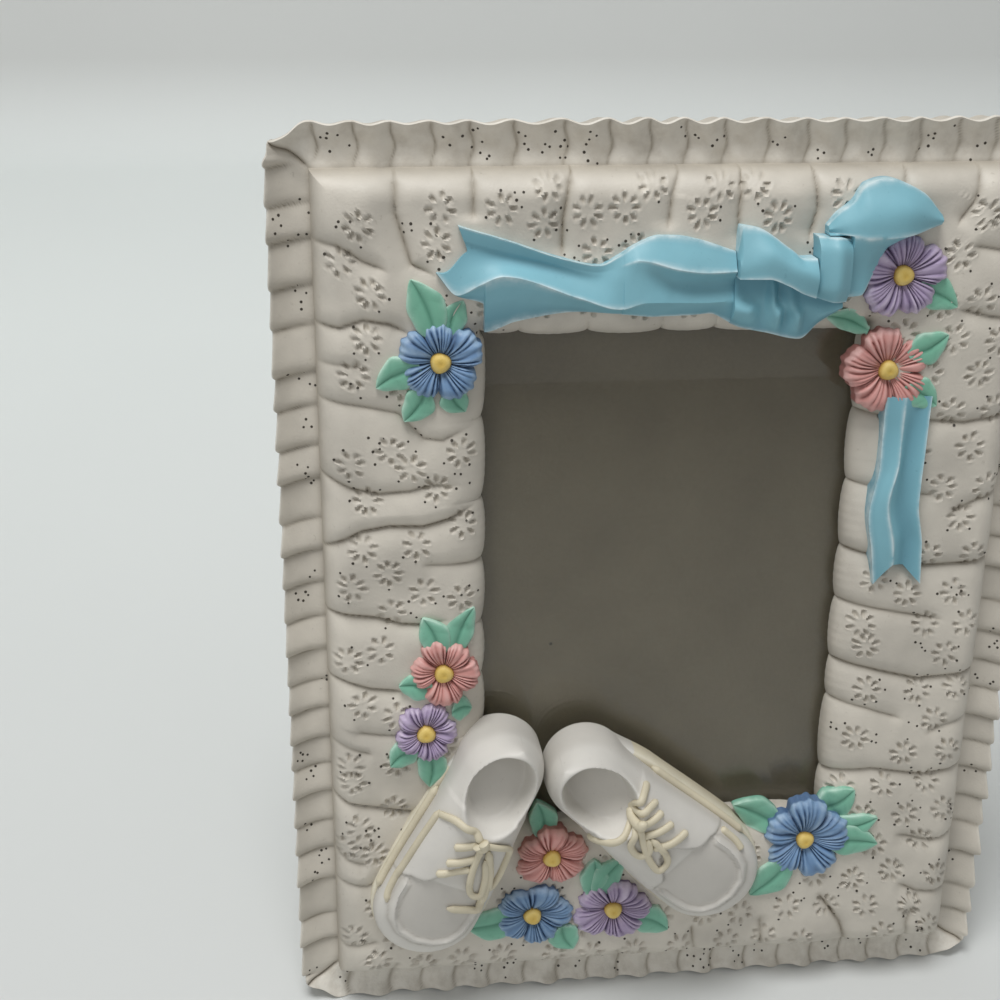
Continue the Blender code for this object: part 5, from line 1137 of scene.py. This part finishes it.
def upper_height(run, reach):
    """Height of the shoe's skin above its sole, and its painted shade."""
    run, reach = np.broadcast_arrays(np.asarray(run, float), np.asarray(reach, float))
    half = np.maximum(half_width(run), 0.05)
    round_toe = np.hypot(run - TOE_START, reach) / TOE_RADIUS
    share = clamp(np.where(run > TOE_START, round_toe, np.abs(reach) / half))
    crown = smooth([k[0] * SHOE_LENGTH for k in CROWN], [k[1] for k in CROWN], run)
    height = crown * np.sqrt(clamp(1 - share ** 2.6))
    gap = nearest(run.ravel(), reach.ravel(), TOE_RIM)[0].reshape(run.shape)
    inside = (run > 40) & (np.hypot((run - 46) / 14.0, reach / 9.4) < 1)
    step = ease((flap_edge(reach) - run) / 0.5) * (run > 18)
    height = height + FLAP_STEP * step + RIM_HEIGHT * np.exp(-(gap / 0.95) ** 2) * (run > 43)
    height = height - 0.35 * inside * (1 - step)
    hollow = np.hypot((run - OPEN_RUN) / OPEN_HALF, reach / OPEN_SIDE)
    floor = 1.6 + 5.4 * clamp((run - 2) / 20) ** 1.3 + 0.5 * clamp(hollow) ** 4
    rim = height + 0.7 * np.exp(-((hollow - 1.08) / 0.10) ** 2)
    height = np.where(hollow < 1.08, floor + (rim - floor) * ease((hollow - 0.80) / 0.24), rim)
    # Painted shade under the flaps' front edge, beside the toe rim, in the foot opening and deepest at its
    # heel end, on the sides that turn down, and over the toe panel
    return height, np.maximum.reduce([
        0.75 * np.exp(-np.abs(flap_edge(reach) - run - 0.1) / 0.35) * (np.abs(reach) > 1.5),
        0.5 * np.exp(-np.abs(gap - 1.3) / 0.4) * (run > 43),
        0.08 * clamp((0.92 - hollow) / 0.3),
        0.25 * ease((share - 0.9) / 0.1),
        0.26 * ease((0.9 - hollow) / 0.3) * ease((OPEN_RUN + 1 - run) / 10),
        0.22 * inside * (1 - step) * ease((gap - 0.7) / 0.5)])


def shoe_spot(key, run, reach, w):
    """World points of a run and reach on a shoe, at height w."""
    heel, heading, hand = SHOES[key]
    along = np.array((math.sin(heading), -math.cos(heading)))
    side = np.array((along[1], -along[0])) * hand
    end = heel - along * HEEL_RADIUS
    return spot(*(end[k] + along[k] * run + side[k] * reach for k in (0, 1)), w)


def on_upper(key, path, lift):
    """Points of a cord that lies on the upper, lift mm above its skin."""
    path = np.array(path, float)
    dense = np.linspace(0, len(path) - 1, len(path) * 6)
    run, reach = (smooth(range(len(path)), path[:, k], dense) for k in (0, 1))
    limit = half_width(run) * 0.94
    reach = np.clip(reach, -limit, limit)
    height = upper_height(run, reach)[0]
    return shoe_spot(key, run, reach, SHOE_BASE + height + lift)


def shoe(key):
    """Upper with its toe panel, sole, piping and laces."""
    run = np.arange(SKIN_RUNS)[:, None] + 0.6
    run = SHOE_LENGTH * (1 - np.cos(np.pi * run / (SKIN_RUNS + 0.2))) / 2
    turn = np.linspace(-np.pi / 2, np.pi / 2, SKIN_ACROSS)[None]
    reach = half_width(run) * (0.55 * np.sin(turn) + 0.45 * turn / (np.pi / 2))
    height, painted_shade = upper_height(run, reach)
    skirt = SHOE_BASE - 0.2 - SKIRT_DROP * (1 - ease((run - 9.0) / 9.0))
    low, high = (shoe_spot(key, run, edge * 0.985, skirt) for edge in (reach[:, :1], reach[:, -1:]))
    points = np.concatenate([low, shoe_spot(key, run, reach, SHOE_BASE + height), high], axis=1)
    # Painted shade of the skin, carried out to its lower edges
    marks = {"painted_shade": np.pad(painted_shade, ((0, 0), (1, 1)), mode="edge")}
    upper = mesh_piece(f"shoe_{key}_skin", [sleeve([points], marks)], SHOE, 60)
    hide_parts(f"shoe_{key}_upper")

    run = np.concatenate([np.linspace(0, 1, SOLE_STEPS), np.linspace(1, 0, SOLE_STEPS)[1:-1]])
    run = SHOE_LENGTH * (1 - np.cos(np.pi * run)) / 2
    hand = np.where(np.arange(len(run)) < SOLE_STEPS, 1.0, -1.0)
    welt = WELT * clamp(run / HEEL_RADIUS - 1) * (1 - 0.7 * ease((run - 46.0) / 14.0))
    welt = welt - 0.5 * (1 - ease((run - 9.0) / 9.0))
    ahead = clamp((run - TOE_START) / TOE_RADIUS) - clamp(1 - run / HEEL_RADIUS)
    aside = np.sqrt(clamp(1 - ahead ** 2))
    rows = []
    for inset, level in ((0.0, 0.0), (-0.1, 1.5), (0.0, 4.6), (0.3, 5.3), (0.8, 5.7), (1.6, SOLE_THICKNESS)):
        along = np.clip(run + (welt - inset) * ahead, 0.05, None)
        out = np.maximum(half_width(run) + (welt - inset) * aside, 0.02) * hand
        rows.append(shoe_spot(key, along, out, SOLE_LOW + level)[None])
    # Painted shade low on the sole and where it meets the upper, and a painted highlight on its rounded top
    # edge
    marks = {"painted_shade": np.repeat([0.45, 0.35, 0.1, 0.0, 0.2, 0.5], len(run)),
             "wear_and_highlight": np.repeat([0, 0, 0.2, 0.5, 0.1, 0], len(run))}
    sole = mesh_piece(f"shoe_{key}_band", [sleeve(rows, marks)], SOLE, 60)
    sole.data.materials.append(SHOE)
    at_heel = np.tile(run < 15.0, len(rows) - 1)
    slots = np.zeros(len(sole.data.polygons), np.int32)
    slots[:len(at_heel)] = at_heel
    sole.data.polygons.foreach_set("material_index", slots)
    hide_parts(f"shoe_{key}_sole")

    cords = [tube(on_upper(key, PIPING[PIPING_START[key]:], 0.05), 0.95, sides=12)]
    run = np.array([21.0, 24, 30, 36, 42, 47, 51])
    cords.append(tube(shoe_spot(key, run, half_width(run) + 0.5, SHOE_BASE + 0.5), 1.0, sides=14))
    for kind, (lift, radius, flat) in CORDS.items():
        cords += [tube(on_upper(key, path, lift), radius, flat=flat) for path in LACES[key][kind]]
    run, reach = LACES[key]["knot"]
    knot = [(run - 1.2, reach + 0.4), (run, reach - 1.0), (run + 1.3, reach), (run + 0.2, reach + 1.1)]
    cords.append(tube(on_upper(key, knot, 1.3), 1.25))
    laces = mesh_piece(f"shoe_{key}_cords", cords, LACE, 60)
    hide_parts(f"shoe_{key}_laces")


def dress(names, look):
    """Better material on the part's own solids."""
    for name in names:
        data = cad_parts[name].data
        data.materials.clear()
        data.materials.append(look)


panel()
ruffle()
for ribbon_name in RIBBONS:
    ribbon(ribbon_name)
for number, flower_name in enumerate(FLOWERS):
    flower(flower_name, number + 1)
for sprig_name in LEAVES:
    leaves(sprig_name)
for shoe_key in SHOES:
    shoe(shoe_key)

STEEL = metal("satin_steel", (196, 196, 196), (158, 156, 152), (0.24, 0.42))
BRASS = metal("stamped_brass", (205, 170, 106), (160, 126, 74), (0.26, 0.44))
dress(("glass_pane",), clear_pane())
dress(("backing_card",), chipboard())
dress(("easel_back_board", "easel_leg_board"), dark_board())
dress(("back_velvet", "leg_velvet"), flocked())
dress([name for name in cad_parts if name.startswith(("hinge_", "rivet_", "button_screw"))], STEEL)
dress([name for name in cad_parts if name.startswith("turn_button")], BRASS)


# Floor, backdrop and light


SWEEP_START, SWEEP_RADIUS, SWEEP_HALF, SWEEP_NEAR, WALL_TOP = 0.56, 0.05, 3.0, -2.0, 3.0
FLOOR_NEAR, FLOOR_FAR, WALL = (197, 197, 196), (228, 233, 231), (220, 221, 219)


def stage_sweep():
    """Floor that curves up into the backdrop, paler at the far end of the floor."""
    turn = np.linspace(0, np.pi / 2, 12)
    profile = [(SWEEP_NEAR, 0.0)]
    profile += [(SWEEP_START + SWEEP_RADIUS * math.sin(a), SWEEP_RADIUS * (1 - math.cos(a))) for a in turn]
    profile += [(SWEEP_START + SWEEP_RADIUS, WALL_TOP)]
    points = [(x, y, z) for y, z in profile for x in (-SWEEP_HALF, SWEEP_HALF)]
    data = bpy.data.meshes.new("backdrop")
    data.from_pydata(points, [], grid_faces(len(profile), 2))
    data.shade_smooth()
    piece = placed("backdrop", data)
    made, tree, shader, place = start_material("backdrop_paper")
    axes = add(tree, "ShaderNodeSeparateXYZ", Vector=place)
    # The floor's ramp from darker near to paler far is a painted falloff of light
    colour = blend(tree, ramp(tree, axes.outputs["Y"], -0.35, 0.35), FLOOR_NEAR, FLOOR_FAR)
    colour = blend(tree, ramp(tree, axes.outputs["Z"], 0.0, SWEEP_RADIUS), colour, WALL)
    cloud = ramp(tree, noise(tree, place, 260.0, 2.0), 0.3, 0.7)
    put(tree, shader.inputs["Base Color"], blend(tree, cloud, colour, (0.97, 0.97, 0.97, 1), "MULTIPLY"))
    shader.inputs["Roughness"].default_value = 0.75
    data.materials.append(made)


def lamp(name, place, target, size, power):
    """Round lamp that faces its target."""
    data = bpy.data.lights.new(name, "AREA")
    data.shape = "DISK"
    data.size = size
    data.energy = power
    piece = placed(name, data)
    piece.location = place
    piece.rotation_euler = (Vector(target) - Vector(place)).to_track_quat("-Z", "Y").to_euler()


stage_sweep()
lamp("key", (-0.2, -0.12, 1.25), (0, 0, 0.1), 0.5, 9.0)
lamp("fill", (-0.9, -0.9, 0.7), (0, 0, 0.1), 0.9, 1.5)
world = bpy.data.worlds.new("studio")
scene.world = world
world.use_nodes = True
backdrop_light = world.node_tree.nodes["Background"]
backdrop_light.inputs["Color"].default_value = (0.9, 0.9, 0.9, 1)
backdrop_light.inputs["Strength"].default_value = 0.40

scene.view_settings.view_transform = "Standard"
